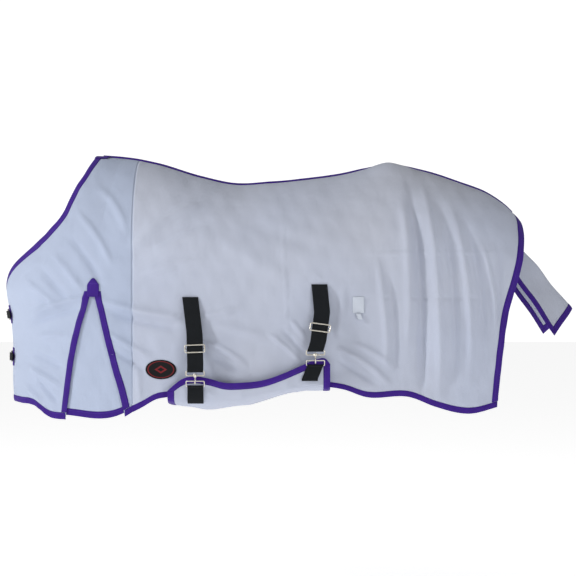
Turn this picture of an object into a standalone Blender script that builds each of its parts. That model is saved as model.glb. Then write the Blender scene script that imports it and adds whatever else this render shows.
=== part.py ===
"""A mesh fly sheet for a horse, as it hangs on the animal, with its belly flap, surcingle clips,
chest buckles and tail flap. Metres. +X runs to the tail, -Y is the horse's left (near) side, +Z is
up, and the origin is at the withers, on the centre line of the sheet. Every soft panel is a thin
closed shell on one smooth body shape. A moving piece hangs under an empty on its joint's axis.
"""

import math

import bmesh
import bpy
import numpy as np
from mathutils import Vector

# --- Driving sizes -------------------------------------------------------------------------------
CLOTH = 0.0010  # thickness of the mesh cloth
TAPE_WIDTH = 0.020  # what an edge binding covers on each face
TAPE = 0.0007  # thickness of one layer of binding
FIT = 0.00035  # gap kept between two sewn layers
CENTRE_GAP = 0.003  # between the two sheet halves at the spine and at the chest
WEBBING_WIDTH = 0.051
WEBBING = 0.0017
PATCH = 0.0014  # thickness of a sewn-on patch
SEAM_X = 0.118  # seam between shoulder panel and body panel
FAN_RADIUS, SKIRT = 0.425, 0.550  # of the shoulder: metres to one radian, and to one depth
TUCK = 0.012  # how far the skirt leans in between the widest line and the hem
GUSSET_INSET = 0.0050  # the shoulder gusset lies this far behind the panel
FLAP_EASE = 0.0005  # extra room under the flap's tape, where its edge bends sharply
FLAP_STAND_OFF = 0.016  # the belly flap's near end lies this far outside the body panel
RUNNING = 0.0004  # clearance of metal that moves in metal

EYE_WIRE, EYE_WIDTH, EYE_HEIGHT = 0.0022, 0.0580, 0.0140
COLLAR_RADIUS, COLLAR_BORE, COLLAR_HEIGHT = 0.0070, 0.0034, 0.0070
HOOK_DROP, HOOK_RADIUS, HOOK_WIRE = 0.0320, 0.0087, 0.0022
GATE_WIRE = 0.0011
RING_WIRE, RING_WIDTH = 0.00175, 0.0575
SLIDE_WIDTH, SLIDE_HEIGHT, SLIDE_WIRE = 0.0630, 0.0235, 0.0021
CHEST_STRAP_WIDTH = 0.026
BUCKLE_WIRE, BUCKLE_LENGTH = 0.0019, 0.0300

SIDES = {"left": -1, "right": 1}

# Height of the spine line along the back, and the widest half width and the height of the rounding
# under it. The hem of the skirt is a second line along the same axis.
SPINE = [(-0.3, 0.0), (0.0, 0.0), (0.09, -0.008), (0.184, -0.027), (0.32, -0.068), (0.44, -0.093),
         (0.56, -0.088), (0.694, -0.075), (0.80, -0.060), (0.88, -0.043), (0.96, -0.030),
         (1.06, -0.045), (1.20, -0.088), (1.30, -0.128), (1.36, -0.170), (1.42, -0.235)]
HALF_WIDTH = [(0.0, 0.250), (0.12, 0.272), (0.30, 0.296), (0.50, 0.308), (0.80, 0.302),
              (1.00, 0.288), (1.20, 0.262), (1.32, 0.230), (1.42, 0.185)]
CROWN = [(0.0, 0.285), (0.5, 0.275), (0.95, 0.275), (1.2, 0.250), (1.42, 0.210)]
HEM = [(0.094, -0.853), (0.150, -0.824), (0.196, -0.798), (0.236, -0.790), (0.50, -0.7715),
       (0.735, -0.7555), (0.80, -0.766), (0.862, -0.788), (1.015, -0.792), (1.092, -0.822),
       (1.207, -0.846), (1.30, -0.826)]
# The rear edge, as (depth, x). Depth runs 0 at the spine, 1 at the widest line, 2 at the hem.
REAR_EDGE = [(0.0, 1.400), (0.5, 1.396), (1.0, 1.372), (1.3, 1.337), (1.6, 1.316), (2.0, 1.297)]
HIP_LIFT, HIP_X, HIP_Y, HIP_SPREAD = 0.020, 0.95, 0.105, 0.060

# The shoulder wraps round to the chest as a fan about the seam. Its front line is (height, x).
CHEST_X = [(-0.87, -0.303), (-0.75, -0.311), (-0.65, -0.310), (-0.54, -0.318),
           (-0.44, -0.333), (-0.374, -0.322), (-0.306, -0.295), (-0.218, -0.250),
           (-0.116, -0.190), (-0.051, -0.150), (0.0, -0.120)]
# (fan angle in degrees, depth) of the neck opening and of the two edges of the shoulder slit, and
# (fan angle, height) of the hem in front of the seam.
NECKLINE = [(35.4, 0.0), (36.4, 0.39), (38.8, 0.60), (43.0, 0.86), (55.9, 1.03), (73.1, 1.15),
            (90.0, 1.27)]
SLIT_TIP = (16.3, 1.216)
SLIT_REAR = [(1.216, 16.3), (1.32, 15.2), (1.50, 12.4), (1.69, 8.9), (1.85, 5.6), (2.0, 3.3)]
SLIT_FRONT = [(1.216, 16.3), (1.32, 18.6), (1.47, 23.0), (1.64, 26.6), (1.80, 28.8), (2.0, 31.6)]
FRONT_HEM = [(0.0, -0.840), (3.3, -0.855), (31.6, -0.867), (40.5, -0.862), (51.0, -0.828),
             (65.0, -0.821), (90.0, -0.819)]

# The belly flap: the top line of its near end, and the line of its bottom at the centre.
FLAP_FRONT_X, FLAP_REAR_X = 0.236, 0.7516
FLAP_TOP = [(0.236, -0.770), (0.259, -0.750), (0.285, -0.732), (0.319, -0.725), (0.37, -0.732),
            (0.4135, -0.744), (0.478, -0.744), (0.542, -0.736), (0.606, -0.714), (0.666, -0.688),
            (0.713, -0.669), (0.739, -0.669), (0.7516, -0.684)]
FLAP_BOTTOM = [(0.236, -0.822), (0.30, -0.838), (0.44, -0.838), (0.55, -0.812), (0.63, -0.786),
               (0.7516, -0.776)]
FLAP_SEAM_DROP = 0.0038  # the flap's off-side edge lies this far under the hem it is sewn to

# Each surcingle strap: (x, z) of its sewn top, of the straight run that the slide moves on, and of
# the clip's bar; the height of the slide; and the length and lean of the tab on the flap.
STRAPS = {
    "front": {"top": (0.3065, -0.471), "run": ((0.3215, -0.585), (0.3250, -0.690)),
              "bar": (0.3245, -0.7055), "slide": -0.635, "tab_long": 0.048, "tab_lean": 0.0},
    "rear": {"top": (0.7190, -0.4305), "run": ((0.7275, -0.520), (0.7150, -0.612)),
             "bar": (0.7060, -0.6395), "slide": -0.568, "tab_long": 0.043, "tab_lean": -0.018},
}
CLIP_STAND_OFF = 0.0195  # from the flap out to the plane that a clip hangs in
RING_REACH = 0.0205  # from the ring's bar in the tab to its bar in the hook

TAIL_PIVOT = Vector((1.350, 0.0, -0.238))
TAIL_TIP = Vector((1.584, 0.0, -0.510))
TAIL_HALF_WIDTH = 0.105
TAIL_SIDE_FALL = (-0.080, -0.090)  # x and z of the roof's fall from its ridge, at the lower end

CHEST_ROWS = {"upper": -0.530, "lower": -0.672}


# --- Smooth lines and the body shape -------------------------------------------------------------
def smooth(knots):
    """A function through the knots (x, y): cubic pieces, with each slope from both neighbours."""
    xs, ys = np.array(knots, float).T
    gaps, rises = np.diff(xs), np.diff(ys)
    slopes = rises / gaps
    inner = (slopes[:-1] * gaps[1:] + slopes[1:] * gaps[:-1]) / (gaps[:-1] + gaps[1:])
    tangents = np.concatenate([slopes[:1], inner, slopes[-1:]])

    def line(x):
        x = np.clip(np.asarray(x, float), xs[0], xs[-1])
        i = np.clip(np.searchsorted(xs, x, side="right") - 1, 0, len(gaps) - 1)
        t = (x - xs[i]) / gaps[i]
        blend = t * t * (3 - 2 * t)
        lean = t * (1 - t) * ((1 - t) * tangents[i] - t * tangents[i + 1]) * gaps[i]
        return ys[i] + rises[i] * blend + lean

    return line


spine_z, half_width, crown = smooth(SPINE), smooth(HALF_WIDTH), smooth(CROWN)
hem_z, rear_x, chest_x = smooth(HEM), smooth(REAR_EDGE), smooth(CHEST_X)
front_hem_z = smooth(FRONT_HEM)
slit_rear, slit_front = smooth(SLIT_REAR), smooth(SLIT_FRONT)
flap_top, flap_bottom = smooth(FLAP_TOP), smooth(FLAP_BOTTOM)


def body(x, depth, side):
    """A point of the body panel's mid surface, at x along the back and at a depth from 0 to 2."""
    x, depth = np.broadcast_arrays(np.asarray(x, float), np.asarray(depth, float))
    angle = np.clip(depth, 0, 1) * math.pi / 2
    skirt = np.clip(depth - 1, 0, 1)
    equator = spine_z(x) - crown(x)
    z = spine_z(x) - crown(x) * (1 - np.cos(angle)) + skirt * (hem_z(x) - equator)
    y = half_width(x) * np.sin(angle) - TUCK * skirt
    hip = np.exp(-(((x - HIP_X) / 0.09) ** 2) - ((y - HIP_Y) / HIP_SPREAD) ** 2)
    return np.stack([x, side * (y + CENTRE_GAP / 2), z + HIP_LIFT * hip], axis=-1)


def shoulder(degrees, depth, side):
    """A point of the shoulder panel's mid surface, at a fan angle from the seam to the chest."""
    degrees, depth = np.broadcast_arrays(np.asarray(degrees, float), np.asarray(depth, float))
    angle, fan = np.clip(depth, 0, 1) * math.pi / 2, np.radians(degrees)
    skirt = np.clip(depth - 1, 0, 1)
    height, top = crown(SEAM_X), spine_z(SEAM_X)
    hem = front_hem_z(np.where(degrees > 90, 180 - degrees, degrees))
    level = top - height * (1 - np.cos(angle)) + skirt * (hem - top + height)
    x = SEAM_X - (SEAM_X - chest_x(level)) * np.sin(fan)
    y = (half_width(SEAM_X) * np.sin(angle) - TUCK * skirt) * np.cos(fan)
    z = level + (spine_z(x) - top) * np.cos(angle)
    return np.stack([x, side * (y + CENTRE_GAP / 2), z], axis=-1)


def normals_of(surface, a, b, side):
    """Unit outward normals of a surface of two parameters."""
    step_a, step_b = 1e-3, 1e-3
    along = surface(a + step_a, b, side) - surface(a - step_a, b, side)
    down = surface(a, np.clip(b + step_b, 0, 2), side) - surface(a, np.clip(b - step_b, 0, 2), side)
    found = np.cross(along, down)
    found /= np.linalg.norm(found, axis=-1, keepdims=True)
    centre = np.array([SEAM_X if surface is shoulder else 0.0, 0.0, -0.45])
    here = surface(a, b, side) - centre
    if surface is body:
        here[..., 0] = 0.0
    outward = np.sign(np.sum(found * here, axis=-1, keepdims=True))
    return found * outward


def body_depth(x, z):
    """The depth at which the body panel reaches height z."""
    equator = spine_z(x) - crown(x)
    fall = np.clip((spine_z(x) - z) / crown(x), 0, 1)
    arc = np.arccos(1 - fall) / (math.pi / 2)
    return np.where(z > equator, arc, 1 + (z - equator) / (hem_z(x) - equator))


def on_body(x, z, side, lift=0.0):
    """A point on the body panel at x and height z, lifted along the outward normal."""
    x, z = np.broadcast_arrays(np.asarray(x, float), np.asarray(z, float))
    depth = body_depth(x, z)
    return body(x, depth, side) + lift * normals_of(body, x, depth, side)


def on_chest(degrees, z, side, lift=0.0):
    """A point on the shoulder panel below its widest line, lifted along the outward normal."""
    degrees, z = np.broadcast_arrays(np.asarray(degrees, float), np.asarray(z, float))
    equator = spine_z(SEAM_X) - crown(SEAM_X)
    hem = front_hem_z(np.where(degrees > 90, 180 - degrees, degrees))
    depth = 1 + (z - equator) / (hem - equator)
    return shoulder(degrees, depth, side) + lift * normals_of(shoulder, degrees, depth, side)


def flap_y(x):
    return half_width(x) + FLAP_STAND_OFF


def flap_seam(x):
    """(y, z) of the off-side edge of the belly flap, just under the hem."""
    return half_width(x) - TUCK + CENTRE_GAP / 2, hem_z(x) - FLAP_SEAM_DROP


def clip_y(x):
    return -flap_y(x) - CLIP_STAND_OFF


def flap_section(x, count=240):
    """The belly flap's line at x, from its near top edge under the belly to its off-side seam."""
    turn = np.linspace(0, math.pi, count)
    bottom, start = float(flap_bottom(x)), float(hem_z(x)) + 0.004
    seam_y, seam_z = flap_seam(x)
    near = turn < math.pi / 2
    rise = np.where(near, start - bottom, seam_z - bottom)
    reach = np.where(near, flap_y(x), seam_y)
    y = -np.sign(np.cos(turn)) * reach * np.abs(np.cos(turn)) ** 0.55
    z = bottom + rise * (1 - np.sin(turn) ** 0.75)
    top = float(flap_top(x))
    if top > start:
        upright = np.linspace(top, start, 12)[:-1]
        y = np.concatenate([np.full(len(upright), -float(flap_y(x))), y])
        z = np.concatenate([upright, z])
    keep = (z <= top + 1e-9) | (y > 0)
    return np.stack([np.full(keep.sum(), float(x)), y[keep], z[keep]], axis=-1)


def resample(points, distances):
    """Points at these distances along a polyline."""
    steps = np.linalg.norm(np.diff(points, axis=0), axis=1)
    run = np.concatenate([[0], np.cumsum(steps)])
    return np.stack([np.interp(distances, run, points[:, k]) for k in range(3)], axis=-1)


def length_of(points):
    return float(np.linalg.norm(np.diff(points, axis=0), axis=1).sum())


# --- Materials and mesh builders -----------------------------------------------------------------
def finish(name, colour, roughness, metallic=0.0):
    material = bpy.data.materials.new(name)
    material.use_nodes = True
    shader = material.node_tree.nodes["Principled BSDF"]
    shader.inputs["Base Color"].default_value = (*colour, 1.0)
    shader.inputs["Roughness"].default_value = roughness
    shader.inputs["Metallic"].default_value = metallic
    material.diffuse_color = (*colour, 1.0)
    return material


FINISHES = {
    "white_mesh": ((0.58, 0.62, 0.74), 0.85, 0.0),
    "purple_tape": ((0.055, 0.022, 0.21), 0.55, 0.0),
    "black_webbing": ((0.006, 0.007, 0.009), 0.75, 0.0),
    "white_webbing": ((0.66, 0.69, 0.78), 0.80, 0.0),
    "nickel": ((0.72, 0.70, 0.66), 0.28, 1.0),
    "badge": ((0.010, 0.010, 0.012), 0.60, 0.0),
}


def add(name, vertices, faces, slot):
    """One mesh object from points and faces, given out with its outside facing out."""
    mesh = bpy.data.meshes.new(name)
    mesh.from_pydata([tuple(map(float, v)) for v in vertices], [], [tuple(map(int, f)) for f in faces])
    work = bmesh.new()
    work.from_mesh(mesh)
    bmesh.ops.recalc_face_normals(work, faces=work.faces)
    if work.calc_volume(signed=True) < 0:
        bmesh.ops.reverse_faces(work, faces=work.faces)
    work.to_mesh(mesh)
    work.free()
    obj = bpy.data.objects.new(name, mesh)
    bpy.context.scene.collection.objects.link(obj)
    if slot not in bpy.data.materials:
        finish(slot, *FINISHES[slot])
    mesh.materials.append(bpy.data.materials[slot])
    return obj


def cells(index, skip=()):
    """Two triangles for each cell of an index grid, always cut along the same diagonal."""
    faces = []
    for i in range(index.shape[0] - 1):
        for j in range(index.shape[1] - 1):
            if (i, j) in skip:
                continue
            a, b, c, d = index[i, j], index[i + 1, j], index[i + 1, j + 1], index[i, j + 1]
            faces += [(a, b, c), (a, c, d)]
    return faces


def shell(name, points, faces, thickness, slot, outward=None):
    """A thin closed solid on both sides of an open surface of triangles."""
    points, faces = np.asarray(points, float), np.asarray(faces, int)
    corner = points[faces]
    flat = np.cross(corner[:, 1] - corner[:, 0], corner[:, 2] - corner[:, 0])
    if outward is None:
        outward = np.zeros_like(points)
        for k in range(3):
            np.add.at(outward, faces[:, k], flat)
        outward /= np.linalg.norm(outward, axis=1, keepdims=True)
    count = len(points)
    both = np.concatenate([points + outward * thickness / 2, points - outward * thickness / 2])
    ends = np.concatenate([faces[:, [0, 1]], faces[:, [1, 2]], faces[:, [2, 0]]])
    key = np.sort(ends, axis=1)
    _, index, uses = np.unique(key, axis=0, return_inverse=True, return_counts=True)
    rim = ends[uses[index.reshape(-1)] == 1]
    walls = [(a, a + count, b) for a, b in rim] + [(b, a + count, b + count) for a, b in rim]
    under = faces[:, ::-1] + count
    return add(name, both, [*faces, *under, *walls], slot)


def grid_shell(name, points, thickness, slot, skip=(), normals=None):
    """A shell from a grid of points, rows by columns."""
    rows, columns = points.shape[:2]
    index = np.arange(rows * columns).reshape(rows, columns)
    outward = None if normals is None else normals.reshape(-1, 3)
    return shell(name, points.reshape(-1, 3), cells(index, skip), thickness, slot, outward)


def sweep(name, rings, slot, closed=False):
    """A closed solid from rings of points: joined in order, and capped unless the path closes."""
    rings = np.asarray(rings, float)
    count, sides = rings.shape[:2]
    index = np.arange(count * sides).reshape(count, sides)
    faces = []
    for i in range(count if closed else count - 1):
        for j in range(sides):
            a, b = index[i, j], index[(i + 1) % count, j]
            c, d = index[(i + 1) % count, (j + 1) % sides], index[i, (j + 1) % sides]
            faces += [(a, b, c), (a, c, d)]
    if not closed:
        faces += [tuple(index[0][::-1]), tuple(index[-1])]
    return add(name, rings.reshape(-1, 3), faces, slot)


def binding(name, edge, inner, edge_normals, inner_normals, first_row=True, ease=0.0):
    """A tape folded over an edge: both leaves and the fold, as one U-shaped solid.

    first_row says that the edge is the first row or column of its panel's grid, for the whole
    tape or for each stretch of it. The leaves then take the same diagonals as the cloth under
    them, so the gap between them stays even. ease widens that gap where the edge bends sharply.
    """
    first_row = np.broadcast_to(first_row, len(edge) - 1)
    near = CLOTH / 2 + FIT + ease
    far = near + TAPE
    out = edge - inner
    out /= np.linalg.norm(out, axis=-1, keepdims=True)
    lip = edge + out * FIT
    tip = lip + out * TAPE
    rings = np.stack([inner + inner_normals * far, tip + edge_normals * far,
                      tip - edge_normals * far, inner - inner_normals * far,
                      inner - inner_normals * near, lip - edge_normals * near,
                      lip + edge_normals * near, inner + inner_normals * near], axis=1)
    index = np.arange(len(edge) * 8).reshape(len(edge), 8)
    faces = []
    for i in range(len(edge) - 1):
        for j in range(8):
            a, b = index[i, j], index[i + 1, j]
            c, d = index[i + 1, (j + 1) % 8], index[i, (j + 1) % 8]
            towards_edge = j in (0, 1, 4, 5)
            faces += [(a, b, d), (b, c, d)] if towards_edge == first_row[i] else [(a, b, c), (a, c, d)]
    for k, turn in ((0, 1), (len(edge) - 1, -1)):
        for quad in ((0, 1, 6, 7), (1, 2, 5, 6), (2, 3, 4, 5)):
            faces.append(tuple(index[k, list(quad)[::turn]]))
    return add(name, rings.reshape(-1, 3), faces, "purple_tape")


def trimmed(rows, first, last):
    """The stations of a strip with its two ends drawn in by these lengths."""
    rows = [np.array(row, float) for row in rows]
    edge = rows[0]
    ahead = first / np.linalg.norm(edge[1] - edge[0])
    behind = last / np.linalg.norm(edge[-2] - edge[-1])
    for row in rows:
        start, end = row[0] + (row[1] - row[0]) * ahead, row[-1] + (row[-2] - row[-1]) * behind
        row[0], row[-1] = start, end
    return rows


def frames_along(path, closed):
    """Tangents and two crosswise directions along a path, carried on without twist."""
    path = np.asarray(path, float)
    if closed:
        tangents = np.roll(path, -1, axis=0) - np.roll(path, 1, axis=0)
    else:
        tangents = np.gradient(path, axis=0)
    tangents /= np.linalg.norm(tangents, axis=1, keepdims=True)
    across = np.zeros_like(path)
    guide = np.eye(3)[np.argmin(np.abs(tangents).max(axis=0))]
    for i, tangent in enumerate(tangents):
        guide = guide - tangent * np.dot(guide, tangent)
        guide = guide / np.linalg.norm(guide)
        across[i] = guide
    return tangents, across, np.cross(tangents, across)


def tube(name, path, radius, slot, closed=False, sides=8):
    """A round wire along a path."""
    path = np.asarray(path, float)
    _, across, up = frames_along(path, closed)
    turn = np.arange(sides) * 2 * math.pi / sides
    rings = path[:, None] + radius * (
        np.cos(turn)[None, :, None] * across[:, None] + np.sin(turn)[None, :, None] * up[:, None])
    return sweep(name, rings, slot, closed)


def lathe(name, profile, centre, slot, sides=16):
    """A solid of revolution about a vertical axis, from (radius, height) points off the axis."""
    turn = np.arange(sides) * 2 * math.pi / sides
    rings = [[(centre[0] + r * math.cos(t), centre[1] + r * math.sin(t), centre[2] + z)
              for t in turn] for r, z in profile]
    return sweep(name, rings, slot)


def rounded_rectangle(width, height, corner, steps=4):
    """Points (across, up) round a rectangle about the origin, with rounded corners."""
    points = []
    for k, (sx, sy) in enumerate(((1, 1), (-1, 1), (-1, -1), (1, -1))):
        cx, cy = sx * (width / 2 - corner), sy * (height / 2 - corner)
        for step in range(steps + 1):
            angle = (k + step / steps) * math.pi / 2
            points.append((cx + corner * math.cos(angle), cy + corner * math.sin(angle)))
    return points


def combine(target, other, operation):
    """Joins or cuts the target with another closed mesh, which then stays hidden."""
    change = target.modifiers.new(operation.lower(), "BOOLEAN")
    change.operation = operation
    change.object = other
    other.hide_render = True
    other.hide_set(True)


def pivot(name, place, pieces):
    """Puts pieces under an empty on their joint's axis, without moving them."""
    empty = bpy.data.objects.new(name, None)
    empty.location = place
    bpy.context.scene.collection.objects.link(empty)
    bpy.context.view_layer.update()
    for piece in pieces:
        piece.parent = empty
        piece.matrix_parent_inverse = empty.matrix_world.inverted()
    return empty


# --- Body and shoulder panels --------------------------------------------------------------------
CREST = TAPE_WIDTH / (0.3 * math.pi / 2)  # the depth that one tape's width takes from the spine
BODY_DEPTHS = np.concatenate([[0, CREST], np.linspace(CREST, 1, 8)[1:],
                              np.linspace(1, 2 - TAPE_WIDTH / 0.5, 7)[1:], [2]])


def body_grid(side):
    """(x, depth) stations of a body panel: rows go down, columns go to the tail."""
    end = rear_x(BODY_DEPTHS)
    start = SEAM_X + 0.0006
    share = np.concatenate([np.linspace(0, 1 - TAPE_WIDTH / 1.25, 19), [1]])
    x = start + (end[:, None] - start) * share[None, :]
    depth = np.repeat(BODY_DEPTHS[:, None], len(share), axis=1)
    return x, depth


def make_body_panel(name, side):
    x, depth = body_grid(side)
    normals = normals_of(body, x, depth, side)
    grid_shell(f"body_panel_{name}", body(x, depth, side), CLOTH, "white_mesh", normals=normals)


neck_angle = smooth([(depth, angle) for angle, depth in NECKLINE])
SLIT_STRIP = math.degrees(TAPE_WIDTH / FAN_RADIUS)
UPPER_DEPTHS = [0, CREST, 0.20, 0.39, 0.60, 0.74, 0.86, 0.95, 1.03, 1.09, 1.15, SLIT_TIP[1]]
LOWER_DEPTHS = [NECKLINE[-1][1], 1.33, 1.39, 1.45, 1.52, 1.60, 1.68, 1.76, 1.86,
                2 - TAPE_WIDTH / SKIRT, 2]
SLIT_AT_SPINE = (7.0, 12.0, 17.0)  # fan angles on the spine of the columns that run to the slit
FRONT_COLUMNS = 9  # from beside the slit to beside the neck opening and the chest edge


def neck_inner(depth, distance=TAPE_WIDTH):
    """The station this far in from the neck opening, square to it."""
    angle = float(neck_angle(depth))
    here = shoulder(angle, depth, -1)
    per_degree = (shoulder(angle + 0.1, depth, -1) - here) / 0.1
    if depth == 0:
        return angle - distance / np.linalg.norm(per_degree), 0.0
    step = -0.01
    ahead = shoulder(neck_angle(depth + step), depth + step, -1) - here
    share = per_degree @ ahead / (ahead @ ahead)
    square = np.linalg.norm(per_degree - share * ahead)
    turn = 1 - share * (float(neck_angle(depth + step)) - angle)
    return angle - distance / square * turn, depth + distance / square * share * step


def front_row(start, depth):
    """Stations at one depth from beside the slit to the neck opening or the chest edge."""
    if depth <= NECKLINE[-1][1]:
        inner, edge = neck_inner(depth), (float(neck_angle(depth)), depth)
    else:
        inner, edge = (90 - SLIT_STRIP, depth), (90.0, depth)
    first = np.array([start, depth])
    row = [first + (np.array(inner) - first) * k / FRONT_COLUMNS for k in range(FRONT_COLUMNS + 1)]
    return [*row, np.array(edge)]


def shoulder_stations():
    """(fan angle, depth) grids of the shoulder panel: above the slit's tip, behind it, before it."""
    at_tip = (SLIT_TIP[0] - SLIT_STRIP, SLIT_TIP[0], SLIT_TIP[0] + SLIT_STRIP)
    upper, rear, front = [], [], []
    for depth in UPPER_DEPTHS:
        share = depth / SLIT_TIP[1]
        slit = [a + (b - a) * share for a, b in zip(SLIT_AT_SPINE, at_tip)]
        upper.append([(0.0, depth), *((a, depth) for a in slit[:2]), *front_row(slit[2], depth)])
    for depth in LOWER_DEPTHS:
        behind, before = float(slit_rear(depth)), float(slit_front(depth))
        rear.append([(0.0, depth), (behind - SLIT_STRIP, depth), (behind, depth)])
        front.append([(before, depth), *front_row(before + SLIT_STRIP, depth)])
    return np.array(upper), np.array(rear), np.array(front)


UPPER, REAR_LOWER, FRONT_LOWER = shoulder_stations()


def make_shoulder_panel(name, side):
    rows, across = UPPER.shape[:2]
    top_index = np.arange(rows * across).reshape(rows, across)
    stations = [UPPER.reshape(-1, 2)]
    faces = cells(top_index)
    start = rows * across
    for grid, first in ((REAR_LOWER, 0), (FRONT_LOWER, 2)):
        columns = grid.shape[1]
        index = start + np.arange(grid.shape[0] * columns).reshape(-1, columns)
        joined = np.concatenate([top_index[-1:, first:first + columns], index])
        faces += cells(joined)
        stations.append(grid.reshape(-1, 2))
        start += grid.shape[0] * columns
    angle, depth = np.concatenate(stations).T
    normals = normals_of(shoulder, angle, depth, side)
    points = shoulder(angle, depth, side)
    shell(f"shoulder_panel_{name}", points, faces, CLOTH, "white_mesh", normals)


def on_shoulder(stations, side, lift=0.0):
    stations = np.asarray(stations, float)
    angle, depth = stations[..., 0], stations[..., 1]
    return shoulder(angle, depth, side) + lift * normals_of(shoulder, angle, depth, side)


def shoulder_strip(edge, inner, side):
    """The four rows that a binding needs, from stations on the shoulder panel."""
    edge, inner = np.asarray(edge, float), np.asarray(inner, float)
    return [on_shoulder(edge, side), on_shoulder(inner, side),
            normals_of(shoulder, edge[:, 0], edge[:, 1], side),
            normals_of(shoulder, inner[:, 0], inner[:, 1], side)]


def make_shoulder_bindings(name, side):
    neck = np.concatenate([UPPER[:, -2:], FRONT_LOWER[:1, -2:]])
    rows = shoulder_strip(neck[:, 1], neck[:, 0], side)
    binding(f"neck_binding_{name}", *trimmed(rows, 0.0012, 0.0012), first_row=False, ease=FIT)
    rear, front = REAR_LOWER[:-1, :0:-1], FRONT_LOWER[:-1, :2]
    for label, stations in (("rear", rear), ("front", front)):
        rows = trimmed(shoulder_strip(stations[:, 0], stations[:, 1], side), 0.0006, 0.0006)
        binding(f"gusset_binding_{label}_{name}", *rows, first_row=label == "front")
    rows = shoulder_strip(FRONT_LOWER[-1], FRONT_LOWER[-2], side)
    binding(f"chest_hem_binding_{name}", *trimmed(rows, 0.0002, 0.0012), first_row=False)


def make_body_bindings(name, side):
    x, depth = body_grid(side)
    lead = shoulder_strip(REAR_LOWER[-1][::-1][:2], REAR_LOWER[-2][::-1][:2], side)
    tail = [body(x[-1], depth[-1], side), body(x[-2], depth[-2], side),
            normals_of(body, x[-1], depth[-1], side), normals_of(body, x[-2], depth[-2], side)]
    rows = [np.concatenate([a, b]) for a, b in zip(lead, tail)]
    binding(f"hem_binding_{name}", *rows, first_row=False)
    up = slice(0, -1)
    rows = [body(x[up, -1], depth[up, -1], side), body(x[up, -2], depth[up, -2], side),
            normals_of(body, x[up, -1], depth[up, -1], side),
            normals_of(body, x[up, -2], depth[up, -2], side)]
    binding(f"rear_binding_{name}", *trimmed(rows, 0.0012, 0.0006), first_row=False)


def make_gusset(name, side):
    """The loose insert behind the slit, and the tape on its own hem."""
    under = math.degrees(0.014 / FAN_RADIUS)
    depths = np.concatenate([np.linspace(SLIT_TIP[1] + 0.05, 1.94, 7), [1.975]])
    share = np.linspace(0, 1, 6)
    rear, front = slit_rear(depths) - under, slit_front(depths) + under
    rear = np.maximum(rear, 0.4)
    angle = rear[:, None] + (front - rear)[:, None] * share[None, :]
    depth = np.repeat(depths[:, None], len(share), axis=1)
    stations = np.stack([angle, depth], axis=-1)
    points = on_shoulder(stations, side, -GUSSET_INSET)
    normals = normals_of(shoulder, angle, depth, side)
    grid_shell(f"shoulder_gusset_{name}", points, CLOTH, "white_mesh", normals=normals)
    rows = trimmed([points[-1], points[-2], normals[-1], normals[-2]], 0.0005, 0.0005)
    binding(f"gusset_hem_binding_{name}", *rows, first_row=False)


def make_gusset_cap(name, side):
    """The pointed patch that holds the top of the slit."""
    over = CLOTH / 2 + 2 * FIT + TAPE + PATCH / 2
    half, long, point = 0.019, 0.057, 0.020
    tip_angle, tip_depth = SLIT_TIP
    widths = [(0.0, 0.12), (0.5 * point, 0.62), (point, 1.0), ((long + point) / 2, 1.0), (long, 1.0)]
    stations = []
    for fall, width in widths:
        reach = math.degrees(half * width / FAN_RADIUS)
        row = [(tip_angle + reach * k, tip_depth + (fall - 0.010) / SKIRT) for k in (-1, -0.4, 0.4, 1)]
        stations.append(row)
    grid_shell(f"gusset_cap_{name}", on_shoulder(stations, side, over), PATCH, "purple_tape")


def make_spine():
    """The tape over the spine seam, from behind the withers to the rear edge."""
    lift = np.array([0, 0, CLOTH / 2 + FIT + TAPE / 2])
    sheet = []
    for side in (-1, 1):
        x, depth = body_grid(side)
        front = on_shoulder(UPPER[:2, -2::-1], side)
        rear = body(x[:2, :-1], depth[:2, :-1], side)
        rows = np.concatenate([front, rear], axis=1)
        across = rows[1] - rows[0]
        across /= np.linalg.norm(across, axis=-1, keepdims=True)
        rows[1] = rows[0] + across * (TAPE_WIDTH - CENTRE_GAP) / 2
        for end, beside in ((0, 1), (-1, -2)):
            step = rows[:, beside] - rows[:, end]
            rows[:, end] += step / np.linalg.norm(step, axis=-1, keepdims=True) * 2 * FIT
        sheet.append(rows + lift)
    grid_shell("spine_binding", np.stack([sheet[0][1], sheet[0][0], sheet[1][0], sheet[1][1]]),
               TAPE, "purple_tape")


def make_wither_patch():
    """The purple patch over the withers, round the top of the neck opening on both sides."""
    reach, back, steps = 0.062, 0.040, 4
    depths = np.linspace(0, 0.5, 60)
    edge = on_shoulder(np.stack([neck_angle(depths), depths], axis=-1), 1)
    run = np.concatenate([[0], np.cumsum(np.linalg.norm(np.diff(edge, axis=0), axis=1))])
    levels = np.interp(np.linspace(0, reach, steps), run, depths)
    lift = CLOTH / 2 + 2 * (FIT + TAPE) + PATCH / 2
    columns = []
    for side, stops in ((-1, levels[::-1]), (1, levels)):
        for depth in stops:
            stations = [(neck_inner(depth, d)[0], depth) for d in (-0.0015, back / 2, back)]
            columns.append(on_shoulder(stations, side, lift))
    grid_shell("wither_patch", np.array(columns), PATCH, "purple_tape")


# --- Belly flap and its fittings -----------------------------------------------------------------
def flap_grid():
    """Points of the belly flap: one column for each x, with tape-wide strips along its edges."""
    ends = FLAP_FRONT_X + TAPE_WIDTH, FLAP_REAR_X - TAPE_WIDTH
    xs = np.concatenate([[FLAP_FRONT_X], np.linspace(*ends, 11), [FLAP_REAR_X]])
    columns = []
    for x in xs:
        line = flap_section(x)
        whole = length_of(line)
        stops = np.concatenate([[0], np.linspace(TAPE_WIDTH, whole, 19)])
        columns.append(resample(line, stops))
    return np.array(columns)


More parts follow.
